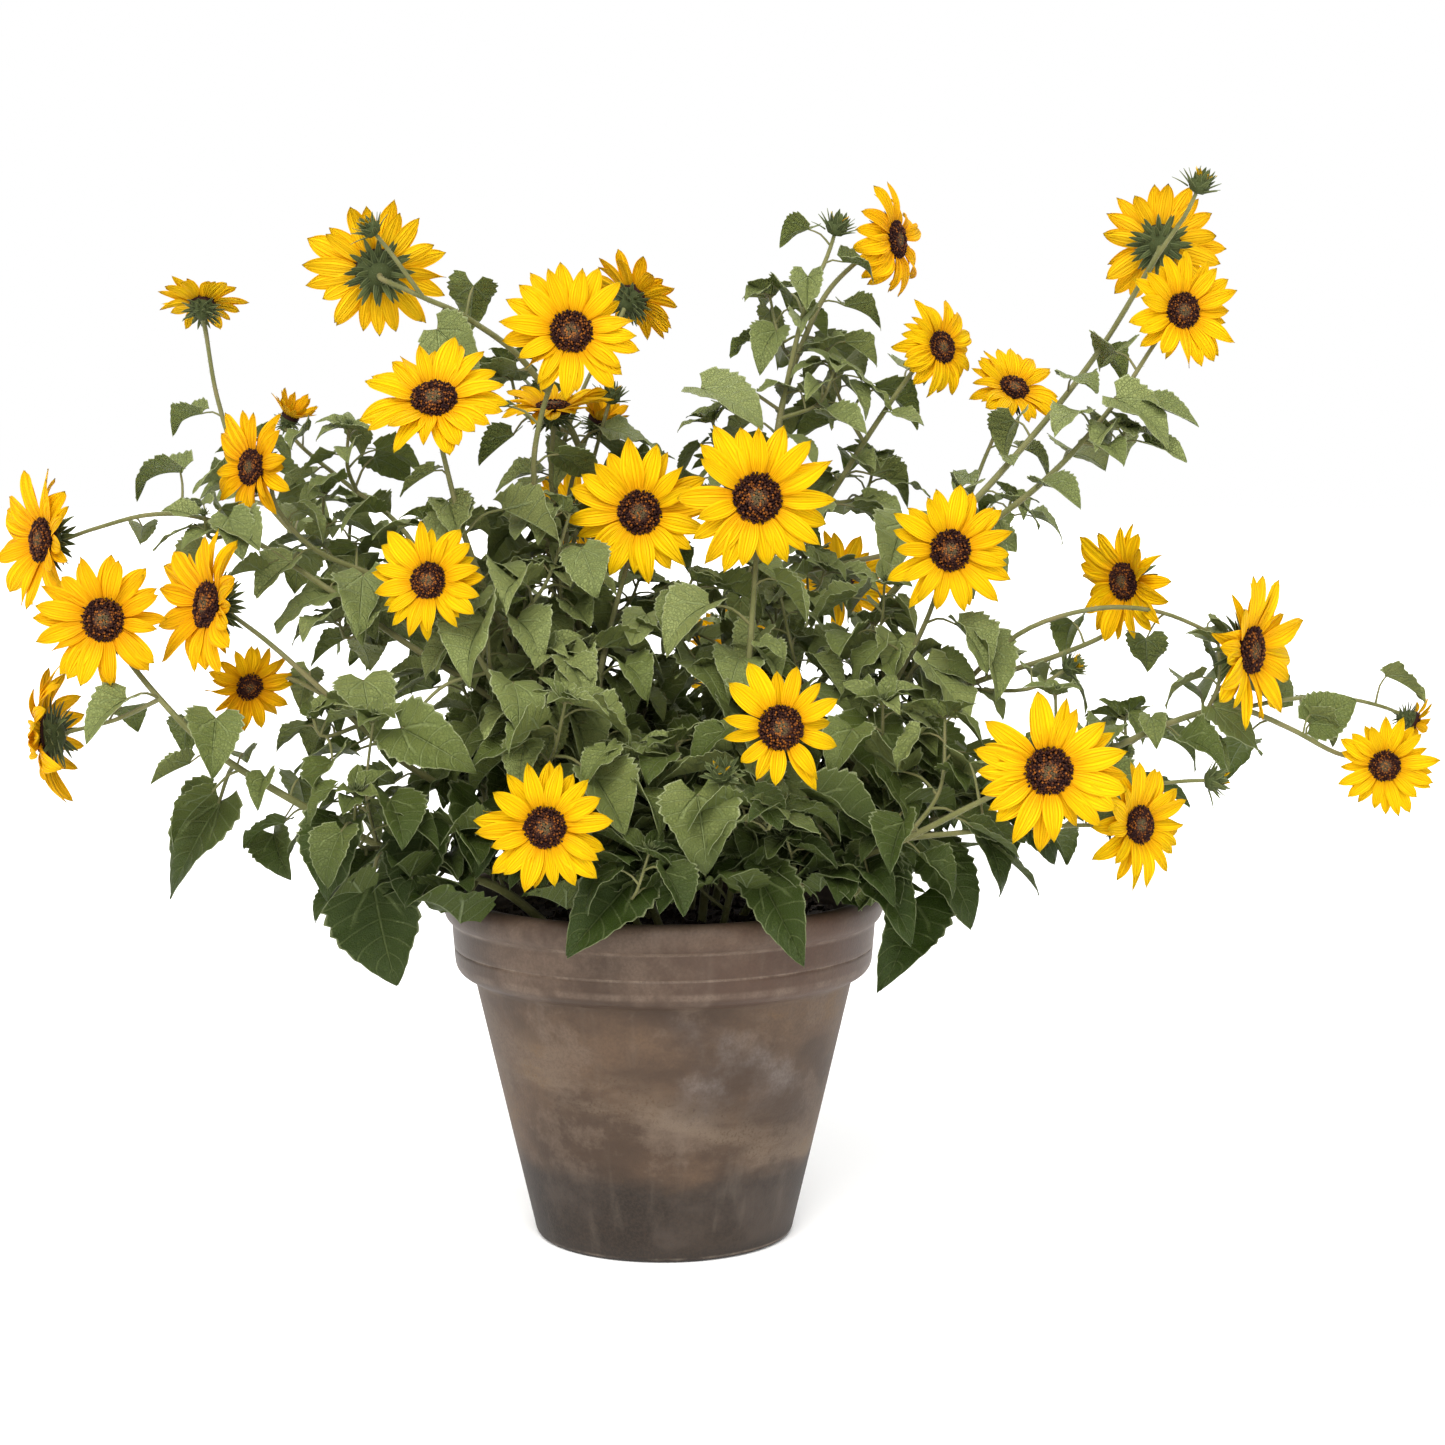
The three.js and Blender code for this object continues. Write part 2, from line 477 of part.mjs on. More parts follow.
function placedLeaf(row, curves) {
  const base = vec(row.base);
  const tip = vec(row.tip);
  let root = null;
  for (const curve of curves) {
    for (let k = 0; k <= 60; k++) {
      const point = curve.getPoint(k / 60);
      if (!root || point.distanceTo(base) < root.distanceTo(base)) root = point;
    }
  }
  const heading = tip.clone().sub(base).normalize();
  const outward = new THREE.Vector3(base.x, base.y, 0).normalize().add(up).normalize();
  const normal = outward.addScaledVector(heading, -outward.dot(heading)).normalize();
  return { root, base, tip, normal, width: row.width };
}

// ---- one stem with everything that grows on it -----------------------------------------------
function growStem(number) {
  const tubes = [];
  const leaves = [];
  const buds = [];
  const curves = [];
  for (const run of runs.filter((r) => r.stem === number)) {
    const curve = curveOf(run.path);
    const long = curve.getLength();
    curves.push(curve);
    tubes.push({ curve, radius: run.radius, steps: Math.max(3, Math.round(long / 68)) });
    const first = run.path[0][2] < SOIL_TOP ? 0.14 : 0.25;
    leaves.push(...leavesOf(curve, run.leaves, run.leaf, run.turn, first, 0.86));
    for (const shoot of shootsOf(curve, run)) {
      const side = curveOf(shoot.path);
      tubes.push({ curve: side, radius: 1.8, steps: 2 });
      leaves.push(...leavesOf(side, 4, run.leaf * 0.82, shoot.turn, 0.4, 1));
    }
    if (run.tip === "bud") buds.push({ at: curve.getPoint(1), along: curve.getTangent(1) });
  }
  for (const row of hanging.filter((r) => r.stem === number)) leaves.push(placedLeaf(row, curves));
  const big = leaves.filter((leaf) => leaf.base.distanceTo(leaf.tip) >= MIN_LEAF);
  return { tubes, leaves: big.filter(isStraight), buds };
}

function budGeometry(bud, pad) {
  const geometry = lathe([[0, -4 - pad], [9 + pad, 6], [0, 16 + pad]], 6);
  const turn = new THREE.Quaternion().setFromUnitVectors(up, bud.along);
  return geometry.applyQuaternion(turn).translate(...bud.at.toArray());
}

const woodOf = (grown, pad) => {
  const parts = grown.tubes.map((t) => toSolid(tube(t.curve, t.radius + pad, t.radius < 2.5 ? 4 : 5, t.steps)));
  for (const bud of grown.buds) parts.push(toSolid(budGeometry(bud, pad)));
  return wasm.Manifold.union(parts);
};

const meets = (a, b) => {
  const [p, q] = [a.boundingBox(), b.boundingBox()];
  return [0, 1, 2].every((k) => p.min[k] <= q.max[k] && q.min[k] <= p.max[k]);
};

const cutBy = (solid, cutters) => {
  const near = cutters.filter((cutter) => meets(solid, cutter));
  return near.length ? solid.subtract(wasm.Manifold.union(near)) : solid;
};

const isFree = (solid, others) => others.every((o) => !meets(solid, o) || solid.intersect(o).isEmpty());

const largest = (solid) => {
  const bodies = solid.decompose();
  return bodies.reduce((best, body) => (body.volume() > best.volume() ? body : best));
};

// ---- assembly ----------------------------------------------------------------------------------
const plant = new THREE.Group();
const terracotta = new THREE.MeshStandardMaterial({ color: 0x6a5848, roughness: 0.85, metalness: 0 });
const earth = new THREE.MeshStandardMaterial({ color: 0x1c1510, roughness: 1, metalness: 0 });
const petal = new THREE.MeshStandardMaterial({ color: 0xffc814, roughness: 0.6, metalness: 0 });
const green = new THREE.MeshStandardMaterial({ color: 0x4d6640, roughness: 0.75, metalness: 0 });
const pad2 = (n) => String(n).padStart(2, "0");

function add(name, geometry, material) {
  const mesh = new THREE.Mesh(geometry, material);
  mesh.name = name;
  plant.add(mesh);
}

let potSolid = toSolid(lathe(potProfile(), POT.sides));
for (let k = 0; k < POT.drains; k++) potSolid = potSolid.subtract(toSolid(drainGeometry(k)));
const soilSolid = toSolid(lathe(soilProfile(), POT.sides));
add("pot", toGeometry(potSolid), terracotta);
add("soil", toGeometry(soilSolid), earth);
heads.forEach((head, i) => add(`flower_${pad2(i + 1)}`, headGeometry(head, 0), petal));

const settled = [potSolid.translate([0, 0, GAP]), soilSolid.translate([0, 0, GAP])];
for (const head of heads) settled.push(toSolid(headGeometry(head, GAP)));

const stemCount = Math.max(...runs.map((run) => run.stem));
const grown = [];
for (let n = 1; n <= stemCount; n++) grown.push(growStem(n));
const fatWood = grown.map((g) => woodOf(g, GAP));
const fatLeaves = [];
grown.forEach((g, i) => {
  const others = fatWood.filter((_, k) => k !== i);
  const parts = [cutBy(woodOf(g, 0), [...settled, ...fatWood.slice(0, i)])];
  for (const leaf of g.leaves) {
    const fat = toSolid(leafGeometry(leaf, GAP));
    if (!isFree(fat, [...settled, ...others, ...fatLeaves])) continue;
    fatLeaves.push(fat);
    parts.push(toSolid(leafGeometry(leaf, 0)));
  }
  add(`stem_${pad2(i + 1)}`, toGeometry(largest(wasm.Manifold.union(parts))), green);
});

export default plant;
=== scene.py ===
import math

import bpy
import numpy as np
from mathutils import Matrix, Vector


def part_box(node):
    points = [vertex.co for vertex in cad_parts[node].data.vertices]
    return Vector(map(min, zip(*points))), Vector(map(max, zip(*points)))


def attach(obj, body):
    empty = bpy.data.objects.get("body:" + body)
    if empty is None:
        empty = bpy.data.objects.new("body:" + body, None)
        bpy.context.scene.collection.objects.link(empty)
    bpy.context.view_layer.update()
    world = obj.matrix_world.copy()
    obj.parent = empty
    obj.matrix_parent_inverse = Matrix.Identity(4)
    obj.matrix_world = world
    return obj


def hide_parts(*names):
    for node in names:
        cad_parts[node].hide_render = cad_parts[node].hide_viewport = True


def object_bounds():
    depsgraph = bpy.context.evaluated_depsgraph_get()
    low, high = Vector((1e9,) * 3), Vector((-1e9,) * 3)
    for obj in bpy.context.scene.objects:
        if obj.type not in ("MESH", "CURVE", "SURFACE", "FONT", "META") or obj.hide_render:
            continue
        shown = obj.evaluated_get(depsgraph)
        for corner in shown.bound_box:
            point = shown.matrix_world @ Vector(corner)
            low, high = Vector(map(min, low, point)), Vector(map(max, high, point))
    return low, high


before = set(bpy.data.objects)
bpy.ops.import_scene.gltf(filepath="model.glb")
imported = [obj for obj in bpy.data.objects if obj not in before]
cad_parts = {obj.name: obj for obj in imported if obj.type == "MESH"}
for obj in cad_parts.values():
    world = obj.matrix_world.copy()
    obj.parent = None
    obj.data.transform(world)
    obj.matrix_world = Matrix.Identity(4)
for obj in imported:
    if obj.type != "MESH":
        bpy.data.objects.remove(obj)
cad_low, cad_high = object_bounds()

# ---- studio -----------------------------------------------------------------------------
# The plant stands on a seamless white floor in a white room: a soft main lamp in front on the
# left, a weak one on the right, and one behind that shines through the leaves and petals.
scene = bpy.context.scene
scene.view_settings.view_transform = "Standard"

lens = bpy.data.cameras.new("camera")
lens.lens = 75.7
lens.sensor_width = 36
camera = bpy.data.objects.new("camera", lens)
camera.location = (0.047, -2.4, 0.68)
aim = Vector((0.047, 0, 0.411))
camera.rotation_euler = (aim - camera.location).to_track_quat("-Z", "Y").to_euler()
scene.collection.objects.link(camera)
scene.camera = camera


def lamp(name, towards, strength, spread, tint):
    light = bpy.data.lights.new(name, "SUN")
    light.energy = strength
    light.angle = math.radians(spread)
    light.color = tint
    holder = bpy.data.objects.new(name, light)
    holder.location = Vector(towards) * 3
    holder.rotation_euler = Vector(towards).to_track_quat("Z", "Y").to_euler()
    scene.collection.objects.link(holder)


lamp("key", (-0.35, -1.0, 1.1), 3.5, 40, (1, 0.985, 0.955))
lamp("fill", (0.3, -1.0, 0.35), 1.1, 50, (0.98, 0.99, 1))
lamp("rim", (0.3, 0.8, 1.1), 1.8, 50, (1, 1, 1))

# the walls look white, and give the plant less light than the lamps do
room = bpy.data.worlds.new("room")
room.use_nodes = True
walls = room.node_tree
seen = walls.nodes.new("ShaderNodeLightPath")
brightness = walls.nodes.new("ShaderNodeMapRange")
brightness.inputs["To Min"].default_value = 0.58
walls.links.new(seen.outputs["Is Camera Ray"], brightness.inputs["Value"])
walls.links.new(brightness.outputs["Result"], walls.nodes["Background"].inputs["Strength"])
walls.nodes["Background"].inputs["Color"].default_value = (1, 1, 1, 1)
scene.world = room

floor_mesh = bpy.data.meshes.new("floor")
FLOOR = 14
floor_mesh.from_pydata([(-FLOOR, -FLOOR, 0), (FLOOR, -FLOOR, 0), (FLOOR, FLOOR, 0), (-FLOOR, FLOOR, 0)],
                       [], [(0, 1, 2, 3)])
floor = bpy.data.objects.new("floor", floor_mesh)
floor.location.z = -0.0004
scene.collection.objects.link(floor)
paper = bpy.data.materials.new("white_paper")
paper.use_nodes = True
paper_shader = paper.node_tree.nodes["Principled BSDF"]
paper_shader.inputs["Base Color"].default_value = (1, 1, 1, 1)
paper_shader.inputs["Roughness"].default_value = 0.9
paper_shader.inputs["Specular IOR Level"].default_value = 0
floor_mesh.materials.append(paper)


# ---- pot --------------------------------------------------------------------------------
# A machine-pressed terracotta pot, smoke-fired to a brown grey: a plain tapering wall, a deep
# rim band with one scribed line, a groove, and a rolled lip. Three holes drain its base.
MM = 0.001


class Value:
    """A shader socket that Python's operators work on, each adding the node it needs."""

    def __init__(self, nodes, socket):
        self.nodes = nodes
        self.socket = socket

    def maths(self, operation, *others):
        return self.nodes.add("Math", {"operation": operation}, dict(enumerate([self, *others])))

    def __add__(self, other):
        return self.maths("ADD", other)

    def __radd__(self, other):
        return self.maths("ADD", other)

    def __sub__(self, other):
        return self.maths("SUBTRACT", other)

    def __rsub__(self, other):
        return (self * -1).maths("ADD", other)

    def __mul__(self, other):
        return self.maths("MULTIPLY", other)

    def __rmul__(self, other):
        return self.maths("MULTIPLY", other)

    def __abs__(self):
        return self.maths("ABSOLUTE")

    def sine(self):
        return self.maths("SINE")

    def fraction(self):
        return self.maths("FRACT")

    def ramp(self, low, high):
        """0 below low, 1 above high, smooth between."""
        settings = {"interpolation_type": "SMOOTHSTEP"}
        return self.nodes.add("MapRange", settings, {"Value": self, "From Min": low, "From Max": high})


class Finish:
    """A material whose nodes are added by one method, and whose shader is a Principled BSDF."""

    def __init__(self, name, **constants):
        self.material = bpy.data.materials.new(name)
        self.material.use_nodes = True
        self.tree = self.material.node_tree
        self.shader = self.tree.nodes["Principled BSDF"]
        for socket, value in constants.items():
            self.shader.inputs[socket.replace("_", " ")].default_value = value

    def add(self, kind, settings=None, inputs=None, output=0):
        node = self.tree.nodes.new("ShaderNode" + kind)
        for key, value in (settings or {}).items():
            setattr(node, key, value)
        for key, value in (inputs or {}).items():
            self.link(node.inputs[key], value)
        return Value(self, node.outputs[output])

    def link(self, socket, value):
        if isinstance(value, Value):
            self.tree.links.new(value.socket, socket)
        elif isinstance(value, tuple) and len(value) == 3 and socket.type == "RGBA":
            socket.default_value = (*value, 1)
        else:
            socket.default_value = value

    def noise(self, where, scale, detail=3, rough=0.5, stretch=None):
        if stretch:
            where = self.add("VectorMath", {"operation": "MULTIPLY"}, {0: where, 1: stretch})
        inputs = {"Vector": where, "Scale": scale, "Detail": detail, "Roughness": rough}
        return self.add("TexNoise", None, inputs)

    def mix(self, part, first, second):
        """Colour first where part is 0, second where it is 1."""
        return self.add("Mix", {"data_type": "RGBA"}, {0: part, 6: first, 7: second}, output=2)

    def parts(self, vector):
        node = self.tree.nodes.new("ShaderNodeSeparateXYZ")
        self.tree.links.new(vector.socket, node.inputs[0])
        return [Value(self, out) for out in node.outputs]

    def place(self):
        return self.add("NewGeometry")

    def growth(self):
        """Place along and across the piece, and a number of its own for each piece."""
        return self.parts(self.add("Attribute", {"attribute_name": "growth"}, None, output=1))

    def feed(self, colour, roughness, bump=None, strength=0.5, distance=MM):
        self.link(self.shader.inputs["Base Color"], colour)
        self.link(self.shader.inputs["Roughness"], roughness)
        if bump is not None:
            inputs = {"Height": bump, "Strength": strength, "Distance": distance}
            self.link(self.shader.inputs["Normal"], self.add("Bump", None, inputs))
        return self.material


class Bundle:
    """Gathers closed shells of quads into one mesh.

    growth keeps where each point lies on its own leaf or petal, and a number of that leaf's own.
    """

    def __init__(self):
        self.points = []
        self.growth = []
        self.quads = []
        self.slots = []
        self.count = 0

    def put(self, points, quads, growth, slots):
        self.points.append(points.reshape(-1, 3))
        self.growth.append(np.broadcast_to(growth, points.shape).reshape(-1, 3))
        self.quads.append(quads + self.count)
        self.slots.append(np.broadcast_to(slots, len(quads)))
        self.count += len(self.points[-1])

    def piece(self, name, materials, sharp):
        points = np.concatenate(self.points)
        quads = np.concatenate(self.quads)
        mesh = bpy.data.meshes.new(name)
        mesh.vertices.add(len(points))
        mesh.vertices.foreach_set("co", points.astype(np.float32).ravel())
        mesh.loops.add(quads.size)
        mesh.loops.foreach_set("vertex_index", quads.astype(np.int32).ravel())
        mesh.polygons.add(len(quads))
        mesh.polygons.foreach_set("loop_start", np.arange(0, quads.size, 4, dtype=np.int32))
        mesh.polygons.foreach_set("material_index", np.concatenate(self.slots).astype(np.int32))
        mesh.attributes.new("growth", "FLOAT_VECTOR", "POINT")
        growth = np.concatenate(self.growth).astype(np.float32).ravel()
        mesh.attributes["growth"].data.foreach_set("vector", growth)
        mesh.update(calc_edges=True)
        mesh.set_sharp_from_angle(angle=math.radians(sharp))
        for material in materials:
            mesh.materials.append(material)
        made = bpy.data.objects.new(name, mesh)
        scene.collection.objects.link(made)
        return made


def lattice(rows, columns, wrap=False):
    """Quads of a grid of points; wrap joins its last column to its first."""
    i = np.arange(rows - 1)[:, None]
    j = np.arange(columns if wrap else columns - 1)[None, :]
    k = (j + 1) % columns
    corners = [i * columns + j, i * columns + k, (i + 1) * columns + k, (i + 1) * columns + j]
    return np.stack([np.broadcast_to(c, (rows - 1, j.size)) for c in corners], -1).reshape(-1, 4)


def closed_rings(rows, sides):
    """Quads of a stack of rings, with a lid over the first ring and over the last."""
    k = np.arange(sides // 2 - 1)
    lid = np.stack([k, k + 1, sides - 2 - k, sides - 1 - k], -1)
    return np.concatenate([lattice(rows, sides, wrap=True), lid[:, ::-1], (rows - 1) * sides + lid])


_, pot_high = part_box("pot")
POT_TALL = pot_high.z
LIP = pot_high.x
FOOT = 0.103
WALL = 0.012
FLOOR_TOP = 0.013
NEAR_AXIS = 0.0005


def curve_points(start, bend, end, steps):
    t = np.linspace(0, 1, steps, endpoint=False)[:, None]
    start, bend, end = (np.array(p) for p in (start, bend, end))
    return (1 - t) ** 2 * start + 2 * t * (1 - t) * bend + t ** 2 * end


def pot_outline():
    """Radius and height, from the middle of the base up the outside, over the lip and down inside."""
    inside = (FOOT - WALL + 0.002, FLOOR_TOP)
    crest = (LIP - 0.008, POT_TALL)
    inner_edge = (LIP - 0.0155, POT_TALL - 0.007)
    runs = [
        curve_points((NEAR_AXIS, 0), (0.05, 0), (FOOT - 0.0045, 0), 8),
        curve_points((FOOT - 0.0045, 0), (FOOT - 0.0002, 0.0002), (FOOT + 0.0008, 0.0055), 6),
        curve_points((FOOT + 0.0008, 0.0055), (0.127, 0.105), (0.1505, 0.2065), 14),
        curve_points((0.1505, 0.2065), (0.1515, 0.2095), (0.157, 0.212), 4),
        curve_points((0.157, 0.212), (0.1645, 0.2145), (0.1662, 0.222), 7),
        curve_points((0.1662, 0.222), (0.1671, 0.229), (0.1672, 0.2338), 4),
        curve_points((0.1672, 0.2338), (0.1664, 0.2345), (0.1673, 0.2352), 3),
        curve_points((0.1673, 0.2352), (0.1682, 0.243), (0.1686, 0.2515), 5),
        curve_points((0.1686, 0.2515), (0.1684, 0.2542), (0.1702, 0.2556), 5),
        curve_points((0.1702, 0.2556), (LIP, 0.259), (LIP, POT_TALL - 0.009), 8),
        curve_points((LIP, POT_TALL - 0.009), (LIP - 0.0005, POT_TALL - 0.0005), crest, 8),
        curve_points(crest, (LIP - 0.0145, POT_TALL), inner_edge, 6),
        curve_points(inner_edge, (0.151, 0.235), inside, 16),
        curve_points(inside, (0.05, FLOOR_TOP), (NEAR_AXIS, FLOOR_TOP), 6),
        np.array([(NEAR_AXIS, FLOOR_TOP)]),
    ]
    return np.concatenate(runs)


POT_SIDES = 144
outline = pot_outline()
around = np.linspace(0, 2 * math.pi, POT_SIDES, endpoint=False)
uneven = 1 + 0.0016 * np.sin(2 * around + 0.6) + 0.0008 * np.sin(5 * around + 2)
rings = np.empty((len(outline), POT_SIDES, 3))
rings[..., 0] = outline[:, :1] * np.cos(around) * uneven
rings[..., 1] = outline[:, :1] * np.sin(around) * uneven
rings[..., 2] = outline[:, 1:]
clay = Bundle()
clay.put(rings, closed_rings(len(outline), POT_SIDES), (0, 0, 0), 0)


def terracotta():
    f = Finish("smoked_terracotta", Specular_IOR_Level=0.22)
    spot = f.place()
    x, _, z = f.parts(spot)
    broad = f.noise(spot, 7, 7, 0.6, (1, 1, 1.7))
    cloud = f.noise(spot, 15, 7, 0.66)
    smear = f.noise(spot, 9, 7, 0.66, (1, 1, 3.2))
    grain = f.noise(spot, 420, 3, 0.6)
    speck = f.noise(spot, 900, 2, 0.5)
    streak = f.noise(spot, 60, 3, 0.5, (1, 1, 0.06))
    body = f.mix(broad.ramp(0.38, 0.62), (0.05, 0.031, 0.02), (0.096, 0.06, 0.037))
    body = f.mix(cloud.ramp(0.5, 0.62) * 0.55, body, (0.132, 0.095, 0.069))
    body = f.mix(broad.ramp(0.54, 0.64) * smear.ramp(0.47, 0.58) * 0.5, body, (0.125, 0.073, 0.03))
    bloom = f.noise(spot, 4.5, 5, 0.62, (1, 1, 0.8)).ramp(0.5, 0.6) * z.ramp(0.1, 0.15)
    body = f.mix(bloom * cloud.ramp(0.36, 0.6) * 0.6, body, (0.138, 0.117, 0.106))
    slant = abs(z + x * 0.35 + smear * 0.12 - 0.187)
    wiped = (1 - slant.ramp(0.0, 0.034)) * smear.ramp(0.4, 0.62) * grain.ramp(0.3, 0.6)
    body = f.mix(wiped * 0.6, body, (0.19, 0.142, 0.098))
    damp = 1 - (z + broad * 0.05 + smear * 0.02).ramp(0.092, 0.116)
    wet_clay = f.mix(cloud.ramp(0.4, 0.66), (0.016, 0.0125, 0.01), (0.045, 0.035, 0.029))
    body = f.mix(damp * 0.9, body, wet_clay)
    foot = 1 - z.ramp(0.004, 0.016)
    body = f.mix(foot * 0.7, body, (0.028, 0.022, 0.018))
    chipped = (1 - abs(z - 0.0028).ramp(0.0004, 0.0016)) * cloud.ramp(0.42, 0.56)
    body = f.mix(chipped * 0.6, body, (0.2, 0.16, 0.12))
    rim = z.ramp(0.207, 0.214)
    rosy = f.mix(x.ramp(-0.05, 0.16), (0.054, 0.033, 0.022), (0.078, 0.043, 0.03))
    body = f.mix(rim * 0.85, body, f.mix(cloud.ramp(0.42, 0.68), rosy, (0.108, 0.073, 0.052)))
    # pale lines along the scribed line, the foot of the rim band and the groove: painted highlights where
    # light catches these edges
    highlight_lines = (1 - abs(z - 0.2345).ramp(0.0004, 0.0014)) * 0.6
    highlight_lines = highlight_lines + (1 - abs(z - 0.2215).ramp(0.001, 0.004)) * 0.35
    highlight_lines = highlight_lines + (1 - abs(z - 0.2553).ramp(0.0004, 0.0022)) * 0.5
    body = f.mix(highlight_lines * streak.ramp(0.25, 0.7), body, (0.22, 0.165, 0.125))
    body = f.mix(speck.ramp(0.62, 0.72) * 0.35, body, (0.03, 0.024, 0.02))
    body = f.mix(grain.ramp(0.42, 0.6) * 0.3, body, (0.052, 0.034, 0.024))
    body = f.mix(streak.ramp(0.55, 0.8) * 0.2, body, (0.17, 0.135, 0.105))
    height = grain * 0.5 + cloud * 0.8 + speck * 0.25
    return f.feed(body, 0.46 + cloud * 0.26 - rim * 0.1, height, 0.4, 0.0011)


pot = clay.piece("clay_pot", [terracotta()], sharp=40)
drill_mesh = bpy.data.meshes.new("drill")
DRAIN_RING = 0.052
DRAIN = 0.01
DRILL_SIDES = 24
drill_points = []
drill_faces = []
for k in range(3):
    turn = k * 2 * math.pi / 3
    middle = np.array([DRAIN_RING * math.sin(turn), -DRAIN_RING * math.cos(turn)])
    first = len(drill_points)
    for z in (-0.01, 0.03):
        for s in range(DRILL_SIDES):
            around_hole = s * 2 * math.pi / DRILL_SIDES
            edge = middle + DRAIN * np.array([math.cos(around_hole), math.sin(around_hole)])
            drill_points.append((*edge, z))
    for s in range(DRILL_SIDES):
        after = (s + 1) % DRILL_SIDES
        drill_faces.append((first + s, first + after, first + DRILL_SIDES + after, first + DRILL_SIDES + s))
    drill_faces.append(tuple(first + DRILL_SIDES - 1 - s for s in range(DRILL_SIDES)))
    drill_faces.append(tuple(first + DRILL_SIDES + s for s in range(DRILL_SIDES)))
drill_mesh.from_pydata(drill_points, [], drill_faces)
drill = bpy.data.objects.new("drill", drill_mesh)
scene.collection.objects.link(drill)
cut = pot.modifiers.new("drain", "BOOLEAN")
cut.operation = "DIFFERENCE"
cut.object = drill
bpy.context.view_layer.update()
drilled = bpy.data.meshes.new_from_object(pot.evaluated_get(bpy.context.evaluated_depsgraph_get()))
pot.modifiers.clear()
pot.data = drilled
bpy.data.objects.remove(drill)
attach(pot, "root")
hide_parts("pot")


# ---- soil -------------------------------------------------------------------------------
# Dark potting compost, loose and crumbly on top, a little below the lip.
rng = np.random.default_rng(11)
_, soil_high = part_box("soil")
SOIL_TOP = soil_high.z
SOIL_SIDES = 120
BED = 0.03
earth = Bundle()
soil_rings = np.concatenate([[0.001], np.linspace(0.006, soil_high.x - 0.0012, 38)])
turns = np.linspace(0, 2 * math.pi, SOIL_SIDES, endpoint=False)
ground = np.empty((len(soil_rings) + 2, SOIL_SIDES, 3))
top = ground[:-2]
top[..., 0] = soil_rings[:, None] * np.cos(turns)
top[..., 1] = soil_rings[:, None] * np.sin(turns)
ripple = sum(np.sin(top[..., 0] * a + b) * np.cos(top[..., 1] * c + d) * e for a, b, c, d, e in
             [(90, 1, 70, 2, 1.1), (210, 0.5, 190, 1.4, 0.7), (430, 2.2, 390, 0.3, 0.45)])
top[..., 2] = SOIL_TOP - 0.0024 + ripple * MM + rng.uniform(-0.5, 0.5, ripple.shape) * MM
ground[-2] = top[-1] * (1, 1, 0) + (0, 0, SOIL_TOP - BED)
ground[-1] = ground[0] * (1, 1, 0) + (0, 0, SOIL_TOP - BED)
earth.put(ground[::-1], closed_rings(len(ground), SOIL_SIDES), (0, 0, 0), 0)
cube = np.array([(x, y, z) for x in (-1, 1) for y in (-1, 1) for z in (-1, 1)], float)
cube_quads = np.array([(0, 1, 3, 2), (4, 6, 7, 5), (0, 4, 5, 1), (2, 3, 7, 6), (0, 2, 6, 4), (1, 5, 7, 3)])
CRUMBS = 520
for _ in range(CRUMBS):
    radius = soil_high.x * 0.96 * math.sqrt(rng.uniform(0, 1))
    angle = rng.uniform(0, 2 * math.pi)
    size = rng.uniform(0.9, 3.2) * MM
    lump = cube * size * rng.uniform(0.55, 1.15, (8, 3))
    turn = np.array(Matrix.Rotation(rng.uniform(0, 6), 3, Vector(rng.normal(size=3)).normalized()))
    lump = lump @ turn + (radius * math.cos(angle), radius * math.sin(angle), SOIL_TOP - 0.0012)
    earth.put(lump, cube_quads, (0, 0, rng.uniform()), 0)


def compost():
    f = Finish("dark_compost", Specular_IOR_Level=0.2)
    spot = f.place()
    lumps = f.noise(spot, 160, 5, 0.7)
    fibre = f.noise(spot, 700, 3, 0.6, (1, 0.3, 1))
    colour = f.mix(lumps.ramp(0.35, 0.7), (0.008, 0.0055, 0.004), (0.042, 0.028, 0.018))
    colour = f.mix(fibre.ramp(0.66, 0.74) * 0.5, colour, (0.12, 0.08, 0.045))
    return f.feed(colour, 0.95, lumps + fibre * 0.4, 0.8, 0.002)


soil = earth.piece("compost", [compost()], sharp=35)
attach(soil, "root")
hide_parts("soil")


# ---- flower heads -----------------------------------------------------------------------
# Each head is a ring of yellow ray florets in two ranks round a domed disc of dark florets,
# held by a green cup of narrow hairy bracts. Its place, facing and width are its CAD dish's.
def head_of(node):
    """Middle of the rays, the way the head faces, and its radius."""
    points = np.unique(np.round([v.co[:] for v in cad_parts[node].data.vertices], 6), axis=0)
    reach = np.linalg.norm(points - points.mean(0), axis=1)
    rim = points[reach > 0.62 * reach.max()]
    middle = rim.mean(0)
    axis = np.linalg.svd(rim - middle)[2][2]
    if (points.mean(0) - middle) @ axis > 0:
        axis = -axis
    return middle, axis, np.linalg.norm(rim - middle, axis=1).max()


def unit(v):
    return v / np.linalg.norm(v)


def slab(points, thick, growth, bundle, upper=0, lower=1):
    """Puts a sheet of points, given in rows, into the bundle as a closed shell of that thickness."""
    rows, columns = points.shape[:2]
    along = np.gradient(points, axis=0)
    across = np.gradient(points, axis=1)
    normal = np.cross(across, along)
    normal /= np.linalg.norm(normal, axis=2, keepdims=True) + 1e-12
    both = np.concatenate([points + normal * thick / 2, points - normal * thick / 2])
    face = lattice(rows, columns)
    second = rows * columns
    edge = np.concatenate([np.arange(columns), np.arange(1, rows) * columns + columns - 1,
                           (rows - 1) * columns + np.arange(columns - 2, -1, -1),
                           np.arange(rows - 2, 0, -1) * columns])
    after = np.roll(edge, -1)
    rim = np.stack([edge, edge + second, after + second, after], -1)
    quads = np.concatenate([face, face[:, ::-1] + second, rim])
    slots = np.concatenate([np.full(len(face), upper), np.full(len(face), lower), np.full(len(rim), upper)])
    bundle.put(both, quads, np.concatenate([growth, growth]), slots)


